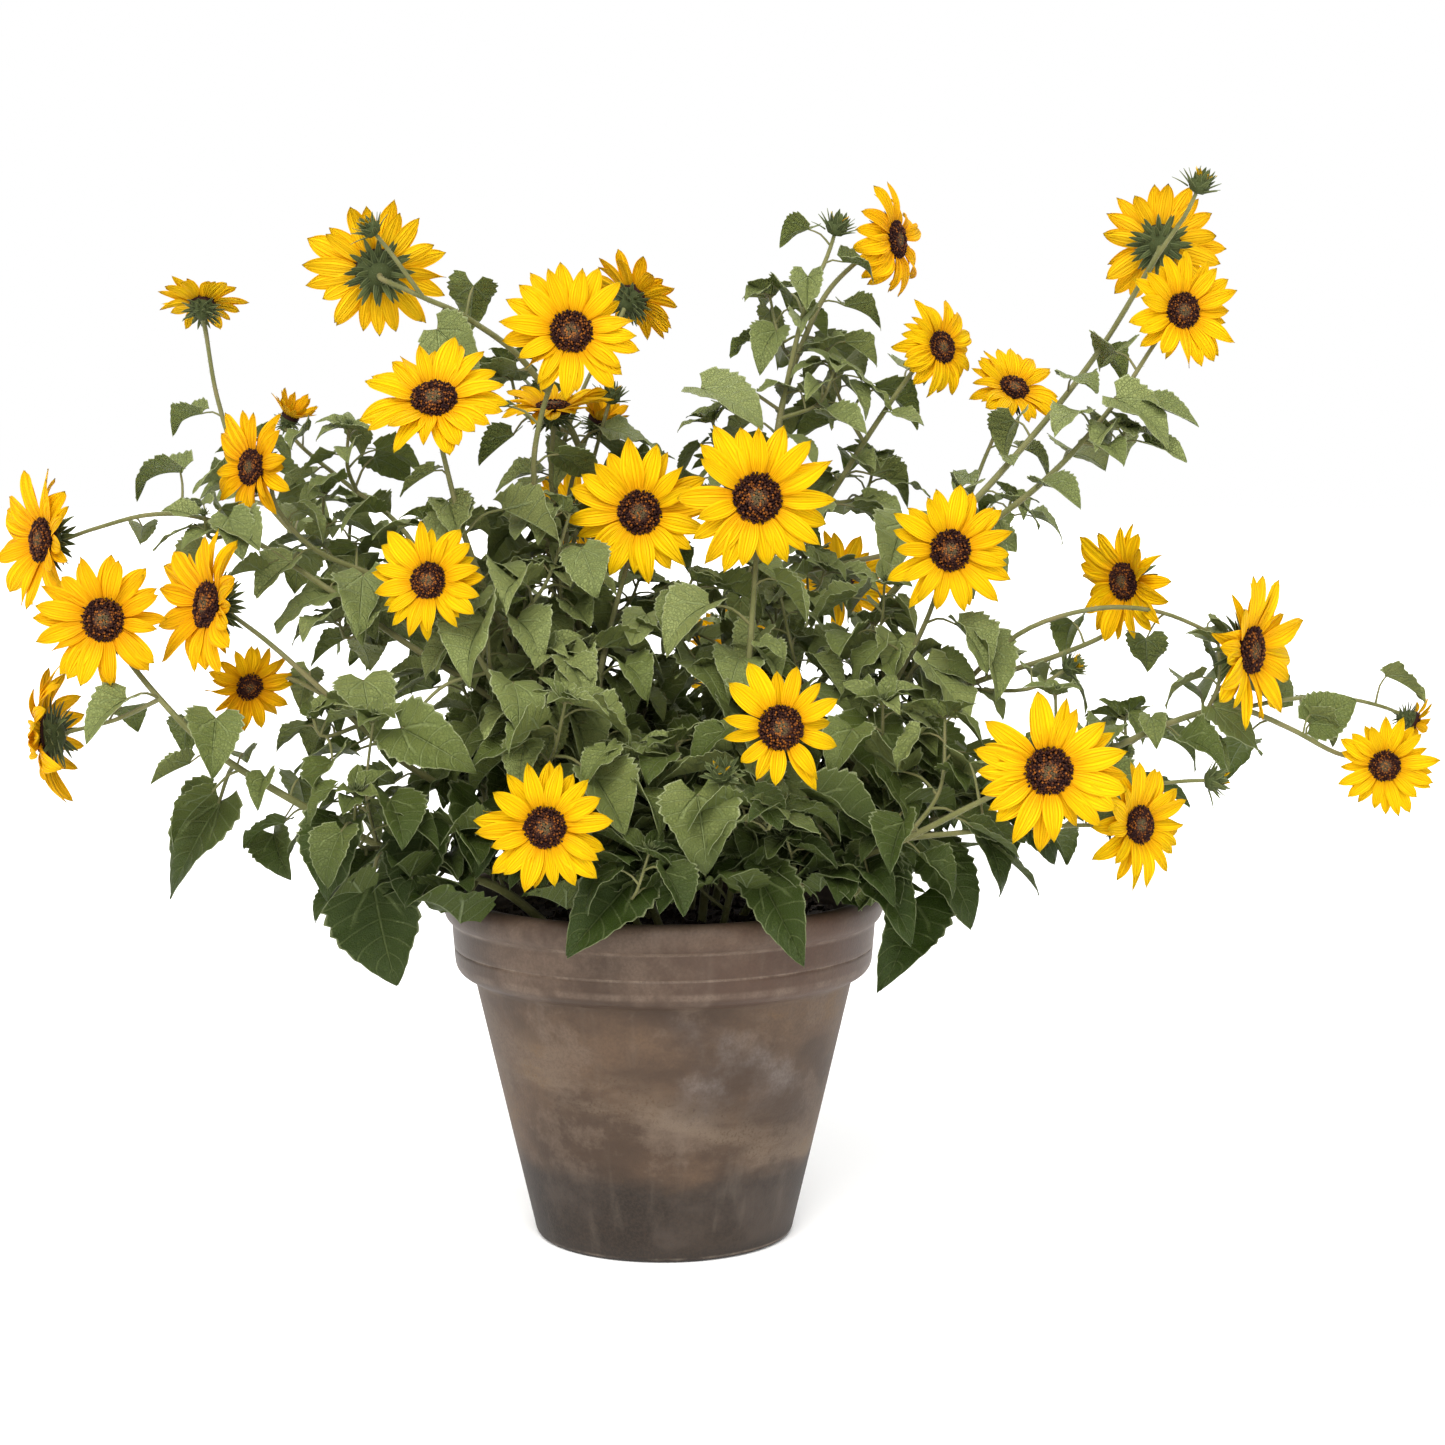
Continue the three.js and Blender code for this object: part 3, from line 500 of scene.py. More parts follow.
RAY_ROWS, RAY_COLUMNS = 13, 9
RAY_THICK = 0.00028
DISC_PART = 0.34
ray_t = np.linspace(0, 1, RAY_ROWS)[:, None] * np.ones((1, RAY_COLUMNS))
ray_v = np.ones((RAY_ROWS, 1)) * np.linspace(-1, 1, RAY_COLUMNS)[None, :]


def ray_sheet(long, wide, lift, fall, twist, point, ripple, gutter):
    """One ray floret from its base at the origin along +Y, with its face up."""
    swell = 0.36 + 0.64 * np.sin(math.pi / 2 * np.clip(ray_t / 0.44, 0, 1))
    taper = np.clip(1 - np.clip((ray_t - 0.42) / 0.58, 0, 1) ** point, 0, 1) ** 0.76
    half = wide / 2 * np.maximum(swell * taper, 0.02)
    y = long * (ray_t + 0.012 * np.cos(3 * math.pi * ray_v) * ray_t ** 6)
    groove = 0.06 * wide * np.cos(3 * math.pi * ray_v) * np.sin(math.pi * ray_t) ** 0.5
    trough = gutter * wide * ray_v ** 2 * np.sin(math.pi * np.clip(ray_t * 1.1, 0, 1))
    wave = ripple * wide * np.sin(8 * ray_t + 90 * ripple) * ray_v
    angle = lift - fall * ray_t ** 1.4
    stride = np.diff(y, axis=0, prepend=y[:1])
    step = np.cumsum(stride * np.cos(angle), axis=0)
    rise = np.cumsum(stride * np.sin(angle), axis=0)
    turn = twist * ray_t ** 1.5
    up = rise + half * ray_v * np.sin(turn) + groove + trough + wave
    return np.stack([half * ray_v * np.cos(turn), step, up], -1)


def basis(axis):
    """Two directions square to axis."""
    helper = np.array([0.0, 0.0, 1.0]) if abs(axis[2]) < 0.9 else np.array([0.0, -1.0, 0.0])
    right = unit(np.cross(helper, axis))
    return right, np.cross(axis, right)


def spoke(first, second, angle):
    """The direction that lies at an angle from first towards second."""
    return first * math.cos(angle) + second * math.sin(angle)


def spokes(first, second, angles):
    """One such direction for each of the angles."""
    return np.cos(angles)[:, None] * first + np.sin(angles)[:, None] * second


def set_in(sheet, place, side, along, up):
    """A sheet's points with its base at place and its X, Y and Z turned to the three directions."""
    return place + sheet[..., :1] * side + sheet[..., 1:2] * along + sheet[..., 2:] * up


# what is particular about some heads: rays swept back, half closed, few and ragged, or old
SWEPT, CLOSED, RAGGED = "swept back", "half closed", "ragged"
HABIT = {"flower_23": SWEPT, "flower_09": CLOSED, "flower_31": RAGGED, "flower_18": RAGGED,
         "flower_24": SWEPT, "flower_05": SWEPT, "flower_14": CLOSED}
WARM = {"flower_03", "flower_04", "flower_05", "flower_06", "flower_07", "flower_08",
        "flower_09", "flower_12", "flower_14", "flower_23", "flower_26", "flower_31"}


def grow_rays(bundle, middle, axis, radius, habit, warm, rng):
    right, ahead = basis(axis)
    disc = radius * 0.33
    count = int(rng.integers(21, 26)) if habit != RAGGED else int(rng.integers(14, 17))
    fall_all = {SWEPT: 1.0, CLOSED: -0.15, RAGGED: 0.5}.get(habit, 0.4)
    lift_all = {SWEPT: 0.12, CLOSED: 0.72, RAGGED: 0.3}.get(habit, 0.26)
    for k in range(count):
        rank = k % 2
        angle = 2 * math.pi * (k + rng.uniform(-0.32, 0.32)) / count
        out = spoke(right, ahead, angle)
        side = np.cross(axis, out) * -1
        reach = radius * rng.uniform(0.88, 1.12) * (rng.uniform(0.72, 1.05) if habit == RAGGED else 1)
        start = disc * 0.8
        long = (reach - start) * 1.06
        wide = long * rng.uniform(0.31, 0.42)
        lift = lift_all + rng.uniform(-0.16, 0.16) + 0.1 * rank
        fall = fall_all + rng.uniform(-0.3, 0.4)
        twist = rng.uniform(-0.5, 0.5) + (rng.uniform(-1.4, 1.4) if rng.uniform() < 0.16 else 0)
        sheet = ray_sheet(long, wide, lift, fall, twist, rng.uniform(1.7, 3.2), rng.uniform(-0.05, 0.05),
                          rng.uniform(0.02, 0.26))
        place = middle + out * start + axis * (0.0006 + 0.0012 * rank)
        lean = rng.uniform(-0.14, 0.14)
        along = spoke(out, side, lean)
        beside = side * math.cos(lean) - out * math.sin(lean)
        points = set_in(sheet, place, beside, along, axis)
        tone = np.full_like(ray_t, 0.5 * rng.uniform() + (0.5 if warm else 0.0))
        slab(points, RAY_THICK, np.stack([ray_t, ray_v, tone], -1), bundle)


def petal_finish(name, face):
    f = Finish(name, Specular_IOR_Level=0.1)
    along, across, tone = f.growth()
    spot = f.place()
    ridge = (across * 17.3 + f.noise(spot, 160, 2) * 1.5).sine() * 0.5 + 0.5
    fine = (across * 41 + f.noise(spot, 200, 2) * 2).sine() * 0.5 + 0.5
    fresh = f.mix(along.ramp(0.0, 0.45), (0.92, 0.46, 0.001), (1.0, 0.745, 0.002))
    aged = f.mix(along.ramp(0.0, 0.6), (0.87, 0.35, 0.001), (0.97, 0.56, 0.002))
    colour = f.mix(tone, fresh, aged)
    # darker orange along the grooves: partly the floret's own streaks, partly painted shade in the grooves
    colour = f.mix((1 - ridge) * 0.36 + (1 - fine) * 0.2, colour, (0.76, 0.31, 0.001))
    colour = f.mix(along.ramp(0.86, 1.0) * 0.35, colour, (1.0, 0.74, 0.02))
    if not face:
        colour = f.mix(0.45, colour, (0.97, 0.66, 0.01))
    base = 1 - along.ramp(0.0, 0.14)
    colour = f.mix(base * 0.6, colour, (0.42, 0.12, 0.004))
    f.feed(colour, 0.5 + ridge * 0.12, ridge * 0.7 + fine * 0.3, 1.0, 0.0012)
    glow = f.add("BsdfTranslucent", None, {"Color": (1.0, 0.62, 0.004)})
    shown = f.add("MixShader", None, {0: 0.32, 1: Value(f, f.shader.outputs[0]), 2: glow})
    f.tree.links.new(shown.socket, f.tree.nodes["Material Output"].inputs["Surface"])
    return f.material


petal_face = petal_finish("ray_floret_face", True)
petal_back = petal_finish("ray_floret_back", False)


def floret_finish():
    f = Finish("disc_florets", Specular_IOR_Level=0.2)
    out, tall, tone = f.growth()
    heart = 1 - out.ramp(0.2, 0.42)
    colour = f.mix(out.ramp(0.3, 0.62), (0.045, 0.015, 0.007), (0.02, 0.0042, 0.003))
    shut = f.mix(tone.ramp(0.3, 0.7), (0.095, 0.075, 0.03), (0.05, 0.04, 0.022))
    colour = f.mix(heart * 0.75, colour, shut)
    tip = tall.ramp(0.62, 0.95)
    pollen = tip * tone.ramp(0.45, 0.95) * (1 - out.ramp(0.72, 0.9) * 0.7)
    colour = f.mix(pollen * 0.6, colour, f.mix(tone, (0.16, 0.03, 0.006), (0.42, 0.13, 0.01)))
    return f.feed(colour, 0.75)


floret = floret_finish()


def bract_finish():
    f = Finish("hairy_bracts", Specular_IOR_Level=0.2)
    along, across, tone = f.growth()
    spot = f.place()
    hair = f.noise(spot, 1500, 2, 0.5)
    colour = f.mix(tone, (0.032, 0.044, 0.012), (0.08, 0.098, 0.028))
    # bracts darker towards their bases: painted shade where they crowd together in the cup
    colour = f.mix((1 - along.ramp(0.0, 0.45)) * 0.6, colour, (0.016, 0.022, 0.008))
    colour = f.mix((1 - abs(across).ramp(0.02, 0.16)) * 0.3, colour, (0.15, 0.18, 0.075))
    colour = f.mix(abs(across).ramp(0.6, 1.0) * 0.5, colour, (0.2, 0.23, 0.1))
    colour = f.mix(hair.ramp(0.58, 0.74) * 0.3, colour, (0.24, 0.27, 0.14))
    return f.feed(colour, 0.8, hair, 0.5, 0.0006)


bract = bract_finish()
BRACT_ROWS, BRACT_COLUMNS = 7, 5
BRACT_THICK = 0.0004
bract_t = np.linspace(0, 1, BRACT_ROWS)[:, None] * np.ones((1, BRACT_COLUMNS))
bract_v = np.ones((BRACT_ROWS, 1)) * np.linspace(-1, 1, BRACT_COLUMNS)[None, :]


def bract_sheet(long, wide, lift, fall):
    """One bract from its base at the origin along +Y, with its inner face up."""
    half = wide / 2 * np.maximum((0.75 + 0.5 * bract_t) * (1 - bract_t ** 1.7), 0.02)
    angle = lift - fall * bract_t
    stride = np.full_like(bract_t, long / (BRACT_ROWS - 1))
    stride[0] = 0
    y = np.cumsum(stride * np.cos(angle), axis=0)
    z = np.cumsum(stride * np.sin(angle), axis=0) + 0.18 * wide * bract_v ** 2 * (1 - bract_t)
    return np.stack([half * bract_v, y, z], -1)


def put_turned(bundle, middle, axis, profile, sides, growth, slot):
    """A closed turned body: profile lists radius and height along axis, and both ends are near it."""
    right, ahead = basis(axis)
    angle = np.linspace(0, 2 * math.pi, sides, endpoint=False)
    ring = spokes(right, ahead, angle)
    profile = np.array(profile)
    points = middle + profile[:, :1, None] * ring[None] + profile[:, 1:, None] * axis
    bundle.put(points, closed_rings(len(profile), sides), growth, slot)


FLORET_QUADS = np.concatenate([lattice(4, 4, wrap=True), [(0, 3, 2, 1)], [(12, 13, 14, 15)]])


def grow_disc(bundle, middle, axis, radius, rng, slot):
    """Florets in the crossed spirals of a sunflower, tall and open outside, low and shut inside."""
    right, ahead = basis(axis)
    disc = radius * DISC_PART
    dome = [(0.0003, -0.0042), (disc * 0.9, -0.003), (disc * 1.0, -0.0004), (disc * 0.92, 0.0012),
            (disc * 0.6, 0.0028), (disc * 0.3, 0.0036), (0.0003, 0.0038)]
    put_turned(bundle, middle, axis, dome, 24, (0.6, 0, 0), slot)
    count = 330 if radius > 0.035 else 170
    k = np.arange(count) + 0.5
    part = np.sqrt(k / count)
    turn = k * math.radians(137.508)
    height = disc * 0.26 * (1 - part ** 2) + 0.0008
    foot = middle + (part * disc * 0.93)[:, None] * spokes(right, ahead, turn) + height[:, None] * axis
    lean = foot - (middle - axis * disc * 1.6)
    lean /= np.linalg.norm(lean, axis=1)[:, None]
    wide = disc * 0.058
    tall = np.where(part > 0.5, 0.0034, 0.0018) * (radius / 0.05) * rng.uniform(0.75, 1.3, count)
    tone = rng.uniform(0, 1, count)
    square = np.array([(1, 0), (0, 1), (-1, 0), (0, -1)]) * 1.0
    levels = [(-0.3, 0.8, 0.0), (0.55, 1.0, 0.45), (0.8, 1.15, 0.75), (1.0, 0.35, 1.0)]
    for i in range(count):
        axis_i = unit(lean[i] + 0.16 * rng.normal(size=3))
        side, front = basis(axis_i)
        corners = square[:, :1] * side + square[:, 1:] * front
        points = np.stack([foot[i] + axis_i * tall[i] * h + corners * wide * w for h, w, _ in levels])
        shade = np.empty((4, 4, 3))
        shade[..., 0] = part[i]
        shade[..., 1] = np.array([level[2] for level in levels])[:, None]
        shade[..., 2] = tone[i]
        bundle.put(points, FLORET_QUADS, shade, slot)


# each rank of bracts: how far out and how far back it sits, its length and its lift
RANKS = [(0.86, 0.36, 0.26, 0.16), (0.72, 0.58, 0.3, -0.08), (0.52, 0.8, 0.28, -0.35)]


def grow_bracts(bundle, middle, axis, radius, rng, slot):
    """The green cup behind the rays: a turned receptacle under three ranks of pointed bracts."""
    right, ahead = basis(axis)
    disc = radius * DISC_PART
    depth = 0.0135
    cup = [(0.0012, -depth - 0.0005), (0.0036, -depth), (disc * 0.42, -depth * 0.86),
           (disc * 0.8, -depth * 0.5), (disc * 0.98, -0.0028), (disc * 0.9, -0.0012), (0.0012, -0.0012)]
    put_turned(bundle, middle, axis, cup, 20, (0.2, 0.5, 0.5), slot)
    for rank, (start, back, long, lift) in enumerate(RANKS):
        count = 12 - rank
        for k in range(count):
            angle = 2 * math.pi * (k + 0.5 * rank + rng.uniform(-0.2, 0.2)) / count
            out = spoke(right, ahead, angle)
            side = np.cross(out, axis)
            sheet = bract_sheet(radius * long * rng.uniform(0.85, 1.12), 0.0052 * radius / 0.05,
                                lift + rng.uniform(-0.15, 0.15), 0.2 + rng.uniform(-0.3, 0.5))
            place = middle + out * disc * start - axis * depth * back
            points = set_in(sheet, place, side, out, axis)
            tone = np.full_like(bract_t, rng.uniform())
            slab(points, BRACT_THICK, np.stack([bract_t, bract_v, tone], -1), bundle, slot, slot)


heads = {}
for node in sorted(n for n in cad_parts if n.startswith("flower_")):
    number = int(node[-2:])
    rng = np.random.default_rng(100 + number)
    middle, axis, radius = head_of(node)
    heads[node] = (middle, axis, radius)
    rays = Bundle()
    grow_rays(rays, middle, axis, radius, HABIT.get(node), node in WARM, rng)
    crown = rays.piece(f"rays_{number:02d}", [petal_face, petal_back], sharp=80)
    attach(crown, "root")
    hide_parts(node)
    core = Bundle()
    grow_disc(core, middle, axis, radius, rng, 0)
    grow_bracts(core, middle, axis, radius, rng, 1)
    heart = core.piece(f"disc_and_cup_{number:02d}", [floret, bract], sharp=60)
    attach(heart, "root")
    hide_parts(node)


# ---- stems, leaves and buds -----------------------------------------------------------------
# Bristly olive stems rise from the soil, fork, and end in a head or a bud. Heart-shaped toothed
# leaves stand round them on petioles, a golden turn apart, and leafy shoots fill the middle.
# Each run: stem, radius, leaves, leaf length, turn of the first, side shoots, tip, and its path.
# Radius, leaf length and path are in millimetres, and the turn is in degrees.
RUNS = [
    (1, 3.6, 9, 50, 40, 3, "head", [(-35, 60, 250), (-55, 75, 380), (-150, 95, 480), (-235, 105, 512),
     (-303, 112, 552), (-350, 118, 612), (-370, 125, 665), (-381, 136, 722)]),
    (2, 3.8, 8, 58, 200, 3, "head", [(-30, 35, 250), (-45, 50, 350), (-52, 58, 470), (-62, 40, 610),
     (-105, 15, 690), (-150, -10, 728), (-185, -25, 745), (-216, -34, 759)]),
    (2, 2, 1, 40, 90, 0, "bud", [(-185, -25, 745), (-207, -38, 777), (-222, -42, 796)]),
    (3, 3.2, 7, 58, 310, 2, "head", [(-60, -20, 250), (-80, -35, 340), (-110, -42, 415),
     (-205, -45, 482), (-260, -40, 520), (-315, -32, 555), (-360, -30, 575), (-400, -30, 577),
     (-440, -28, 567), (-466, -31, 558)]),
    (4, 4, 10, 60, 120, 2, "head", [(-80, -60, 250), (-122, -95, 292), (-167, -120, 314), (-222, -127, 336),
     (-300, -130, 380), (-345, -125, 410), (-378, -117, 442), (-405, -112, 475), (-415, -118, 498)]),
    (4, 2, 2, 40, 0, 0, "head", [(-378, -117, 442), (-415, -92, 424), (-455, -68, 412), (-461, -62, 409)]),
    (5, 3.6, 8, 62, 260, 2, "head", [(-60, -40, 250), (-92, -55, 305), (-130, -70, 345), (-200, -90, 392),
     (-250, -100, 440), (-295, -105, 482), (-327, -112, 508)]),
    (5, 2, 1, 38, 60, 0, "head", [(-250, -100, 440), (-290, -82, 456), (-320, -79, 452)]),
    (6, 3.6, 8, 56, 20, 3, "head", [(-50, 10, 250), (-62, 18, 350), (-95, 20, 430), (-160, 8, 482),
     (-215, -8, 522), (-270, -18, 548), (-300, -22, 580), (-305, -32, 608)]),
    (6, 2.4, 4, 44, 150, 1, "head", [(-160, 8, 482), (-205, 22, 560), (-250, 30, 597), (-285, 34, 625),
     (-301, 36, 642)]),
    (7, 3.6, 6, 60, 80, 3, "head", [(-40, -30, 250), (-72, -50, 340), (-95, -62, 420), (-125, -82, 500),
     (-147, -98, 560), (-162, -104, 620), (-168, -110, 653)]),
    (8, 3.8, 7, 60, 340, 3, "head", [(-10, 0, 250), (-32, -4, 340), (-50, -8, 415), (-82, -28, 525),
     (-98, -52, 600), (-92, -56, 655), (-71, -48, 713)]),
    (9, 3.8, 6, 58, 180, 3, "head", [(-15, 30, 250), (-35, 30, 340), (-50, 28, 425), (-78, 14, 525),
     (-88, 6, 600), (-86, -2, 644)]),
    (9, 2.2, 2, 44, 30, 0, "head", [(-78, 14, 525), (-76, 38, 590), (-62, 54, 636)]),
    (9, 2, 2, 40, 250, 0, "bud", [(-78, 14, 525), (-58, 26, 610), (-42, 30, 668)]),
    (9, 2.4, 4, 46, 130, 1, "head", [(-78, 14, 525), (-88, 66, 600), (-68, 84, 670), (-36, 90, 732)]),
    (10, 3.4, 7, 62, 10, 3, "head", [(-30, -70, 250), (-50, -95, 302), (-76, -112, 352), (-120, -130, 445),
     (-143, -140, 490), (-165, -140, 527)]),
    (11, 3.6, 8, 62, 290, 3, "head", [(0, -50, 250), (-22, -72, 310), (-42, -84, 375), (-48, -76, 445),
     (-40, -60, 490), (-28, -46, 535), (-17, -46, 574)]),
    (12, 3.8, 8, 62, 140, 3, "head", [(30, -30, 250), (36, -60, 310), (45, -78, 375), (64, -82, 445),
     (70, -76, 505), (73, -70, 555), (73, -76, 588)]),
    (13, 3.2, 6, 62, 230, 3, "head", [(45, -70, 250), (55, -105, 300), (62, -140, 338), (74, -188, 385),
     (86, -215, 427)]),
    (13, 2, 2, 40, 100, 0, "bud", [(62, -140, 338), (50, -180, 366), (46, -208, 396)]),
    (14, 3, 6, 58, 75, 3, "head", [(-10, -90, 250), (-30, -125, 292), (-50, -155, 314), (-70, -184, 338),
     (-81, -196, 354)]),
    (15, 3.6, 8, 62, 350, 3, "head", [(60, 0, 250), (95, -20, 312), (125, -32, 362), (155, -42, 402),
     (180, -50, 446), (206, -56, 500), (219, -66, 547)]),
    (16, 3.8, 8, 60, 180, 2, "head", [(70, -60, 250), (108, -98, 294), (142, -126, 318), (185, -158, 342),
     (232, -190, 372), (276, -206, 396)]),
    (16, 2.4, 4, 46, 40, 1, "head", [(185, -158, 342), (245, -145, 346), (305, -135, 348),
     (345, -140, 349)]),
    (16, 1.8, 2, 38, 90, 0, "bud", [(305, -135, 348), (342, -118, 372), (390, -118, 379),
     (418, -116, 380)]),
    (17, 4, 9, 54, 270, 4, "head", [(20, 40, 250), (35, 46, 360), (60, 52, 475), (85, 62, 600),
     (96, 68, 665), (112, 76, 712), (134, 88, 755), (173, 104, 792)]),
    (17, 2.4, 4, 42, 20, 0, "bud", [(96, 68, 665), (112, 60, 735), (130, 58, 778), (138, 56, 802)]),
    (18, 3.6, 8, 54, 110, 3, "head", [(40, 60, 250), (60, 78, 350), (84, 84, 440), (122, 84, 560),
     (150, 78, 612), (175, 72, 652), (200, 68, 688), (212, 68, 702)]),
    (18, 2.4, 4, 46, 220, 1, "head", [(110, 84, 525), (200, 96, 545), (242, 102, 575), (264, 112, 620),
     (282, 122, 662)]),
    (19, 4, 8, 52, 70, 3, "head", [(70, 20, 250), (86, 12, 330), (108, 8, 415), (192, 18, 525),
     (268, 34, 607), (320, 46, 667), (360, 54, 722), (396, 66, 782)]),
    (19, 2.2, 2, 34, 0, 0, "bud", [(360, 54, 722), (392, 44, 778), (414, 38, 812), (424, 36, 834)]),
    (19, 3, 6, 54, 200, 1, "head", [(192, 18, 525), (268, -4, 577), (314, -8, 617), (356, -2, 665),
     (384, 6, 706), (401, 10, 730)]),
    (20, 3.4, 8, 54, 300, 2, "head", [(90, -20, 250), (124, -26, 332), (168, -32, 402), (232, -40, 442),
     (312, -28, 468), (356, -16, 488), (374, -22, 520)]),
    (20, 2.2, 4, 44, 10, 0, "head", [(232, -40, 442), (277, -58, 487), (332, -62, 506), (382, -56, 504),
     (425, -50, 487), (441, -52, 476)]),
    (20, 1.8, 1, 38, 60, 0, "bud", [(232, -40, 442), (282, -64, 444), (314, -74, 462)]),
    (21, 3.8, 11, 56, 130, 3, "head", [(80, -40, 250), (122, -48, 302), (162, -50, 326), (227, -50, 344),
     (302, -50, 371), (352, -46, 396), (410, -40, 420), (450, -38, 426), (492, -32, 410), (530, -26, 390),
     (564, -29, 383)]),
    (21, 2, 2, 44, 320, 0, "head", [(450, -38, 426), (497, -18, 432), (542, 0, 430), (572, 12, 423),
     (590, 19, 416)]),
    (22, 3.8, 8, 60, 45, 4, "head", [(20, 80, 250), (35, 140, 322), (50, 220, 377), (60, 300, 415),
     (60, 338, 428)]),
    (22, 2.4, 4, 48, 80, 1, "head", [(50, 220, 377), (100, 262, 440), (143, 302, 494)]),
    (23, 3.8, 8, 60, 250, 4, "head", [(-40, 80, 250), (-70, 150, 332), (-110, 220, 402), (-140, 280, 450),
     (-160, 318, 471)]),
    (23, 2.4, 4, 48, 0, 1, "head", [(-110, 220, 402), (-104, 250, 480), (-88, 288, 550)]),
]
# big leaves that hang where they found light: stem, base of the blade, its tip, and its width,
# in millimetres
HANGING = [
    (4, (-335, -100, 365), (-372, -120, 292), 66), (4, (-220, -118, 308), (-200, -136, 228), 76),
    (4, (-175, -130, 356), (-190, -146, 290), 54), (5, (-300, -80, 335), (-285, -92, 300), 36),
    (10, (-195, -150, 425), (-135, -168, 393), 48), (14, (-15, -168, 318), (-66, -196, 262), 56),
    (13, (72, -160, 318), (106, -194, 254), 44), (21, (196, -72, 284), (168, -104, 214), 54),
    (13, (28, -196, 382), (36, -214, 322), 60), (17, (28, 20, 676), (78, -6, 645), 58),
    (21, (428, -44, 430), (466, -52, 392), 46), (19, (352, -18, 668), (394, -30, 630), 46),
    (21, (508, -20, 412), (546, -16, 430), 40), (2, (-176, -20, 722), (-142, -34, 690), 44),
    (21, (206, -66, 318), (240, -92, 262), 50), (16, (152, -132, 322), (188, -166, 264), 46),
    (21, (244, -60, 338), (262, -84, 286), 44), (21, (272, -56, 354), (306, -70, 308), 42),
    (15, (158, -60, 372), (206, -96, 326), 56), (20, (196, -60, 410), (236, -84, 366), 52),
]
GOLDEN = math.radians(137.5)
UP = np.array([0.0, 0.0, 1.0])


class Path:
    """A smooth curve through points, in metres."""

    def __init__(self, points):
        points = np.array(points, float)
        self.points = np.concatenate([[2 * points[0] - points[1]], points, [2 * points[-1] - points[-2]]])
        self.spans = len(points) - 1

    def at(self, u):
        place = min(max(u, 0), 1) * self.spans
        k = min(int(place), self.spans - 1)
        t = place - k
        a, b, c, d = self.points[k:k + 4]
        square = 2 * a - 5 * b + 4 * c - d
        cube = 3 * b - a - 3 * c + d
        here = 0.5 * (2 * b + (c - a) * t + square * t ** 2 + cube * t ** 3)
        heading = 0.5 * ((c - a) + 2 * square * t + 3 * cube * t ** 2)
        return here, unit(heading)

    def length(self):
        steps = np.array([self.at(u)[0] for u in np.linspace(0, 1, 40)])
        return np.linalg.norm(np.diff(steps, axis=0), axis=1).sum()


def square_to(along):
    across = np.array([0.0, 1.0, 0.0])
    first = unit(across - along * (across @ along))
    return first, np.cross(along, first)


def put_tube(bundle, path, first, last, step, sides, slot, tone, ribs=0.0):
    """A tapering ribbed tube along a path, closed at both ends."""
    rings = max(3, int(path.length() / step) + 1)
    angle = np.linspace(0, 2 * math.pi, sides, endpoint=False)
    points = np.empty((rings, sides, 3))
    growth = np.empty((rings, sides, 3))
    for i, u in enumerate(np.linspace(0, 1, rings)):
        here, along = path.at(u)
        e1, e2 = square_to(along)
        radius = (first + (last - first) * u) * (1 + ribs * np.cos(5 * angle + 2 * u))
        points[i] = here + radius[:, None] * spokes(e1, e2, angle)
        growth[i] = np.stack([np.full(sides, u), np.cos(angle), np.full(sides, tone)], -1)
    bundle.put(points, closed_rings(rings, sides), growth, slot)


SPIKE = np.array([(0, 1, 5, 4), (1, 2, 6, 5), (2, 3, 7, 6), (3, 0, 4, 7), (4, 5, 6, 7), (3, 2, 1, 0)])


def put_bristles(bundle, path, first, last, rng, slot, density=1100):
    """Short stiff hairs all round a stem, each a narrow spike."""
    count = int(path.length() * density)
    for _ in range(count):
        u = rng.uniform(0, 1)
        here, along = path.at(u)
        e1, e2 = square_to(along)
        angle = rng.uniform(0, 2 * math.pi)
        out = spoke(e1, e2, angle)
        side = np.cross(out, along)
        root = here + out * (first + (last - first) * u) * 0.9
        way = unit(out + 0.35 * rng.normal() * along + 0.3 * rng.normal() * side)
        tip = root + way * rng.uniform(0.9, 2.1) * MM
        wide = 0.11 * MM
        base = [root + along * wide, root + side * wide, root - along * wide, root - side * wide]
        points = np.array(base + [tip + 0.2 * (b - root) for b in base])
        bundle.put(points, SPIKE, (u, 0, 1.0), slot)


def blade_grid(rows, columns, teeth):
    """Where the points of a blade lie: along it, across it, and its toothed half width there."""
    t = np.linspace(0, 1, rows)[:, None] * np.ones((1, columns))
    v = np.linspace(-1, 1, columns)
    v = np.ones((rows, 1)) * (np.sign(v) * (1 - (1 - np.abs(v)) ** 1.25))[None, :]
    near = np.clip(t, 0.012, 0.996)
    half = near ** 0.4 * (1 - near) ** 0.86
    half /= half.max()
    tooth = (t * teeth + 0.12) % 1
    half = half * (1 + 0.17 * (tooth - 0.45) * np.abs(v) ** 6 * np.clip(1.3 - t, 0, 1))
    return t, v, half


LEAF_THICK = 0.00042
LARGE_BLADE = blade_grid(37, 15, 9)
SMALL_BLADE = blade_grid(19, 9, 6)


def blade(grid, long, wide, fold, curl, wave, phase, twist):
    """A heart-shaped toothed blade from its base at the origin along +Y, upper face up."""
    t, v, half = grid
    side = np.abs(v)
    y = long * (t - 0.14 * side ** 1.6 * (1 - t) ** 4 - 0.05 * side * np.sin(math.pi * t))
    vein = np.cos(2 * math.pi * (t * 6.5 - side * 1.5))
    z = fold * wide * 0.5 * half * side + wide / 2 * half * v * np.sin(twist * t)
    z = z + wave * long * np.sin(8 * t + phase + v) * side ** 2
    z = z + 0.5 * wave * long * np.sin(19 * t + 2 * phase - 2 * v) * side ** 3
    z = z - 0.015 * long * vein * np.sin(math.pi * side) * np.sin(math.pi * t)
    z = z - 0.02 * long * np.exp(-(side * 7) ** 2) * (1 - t)
    bend = curl * t ** 1.3
    stride = np.gradient(y, axis=0)
    drop = np.cumsum(stride * np.sin(bend), axis=0)
    run = np.cumsum(stride * np.cos(bend), axis=0) + y[:1]
    return np.stack([wide / 2 * half * v * np.cos(twist * t), run, z - drop], -1)


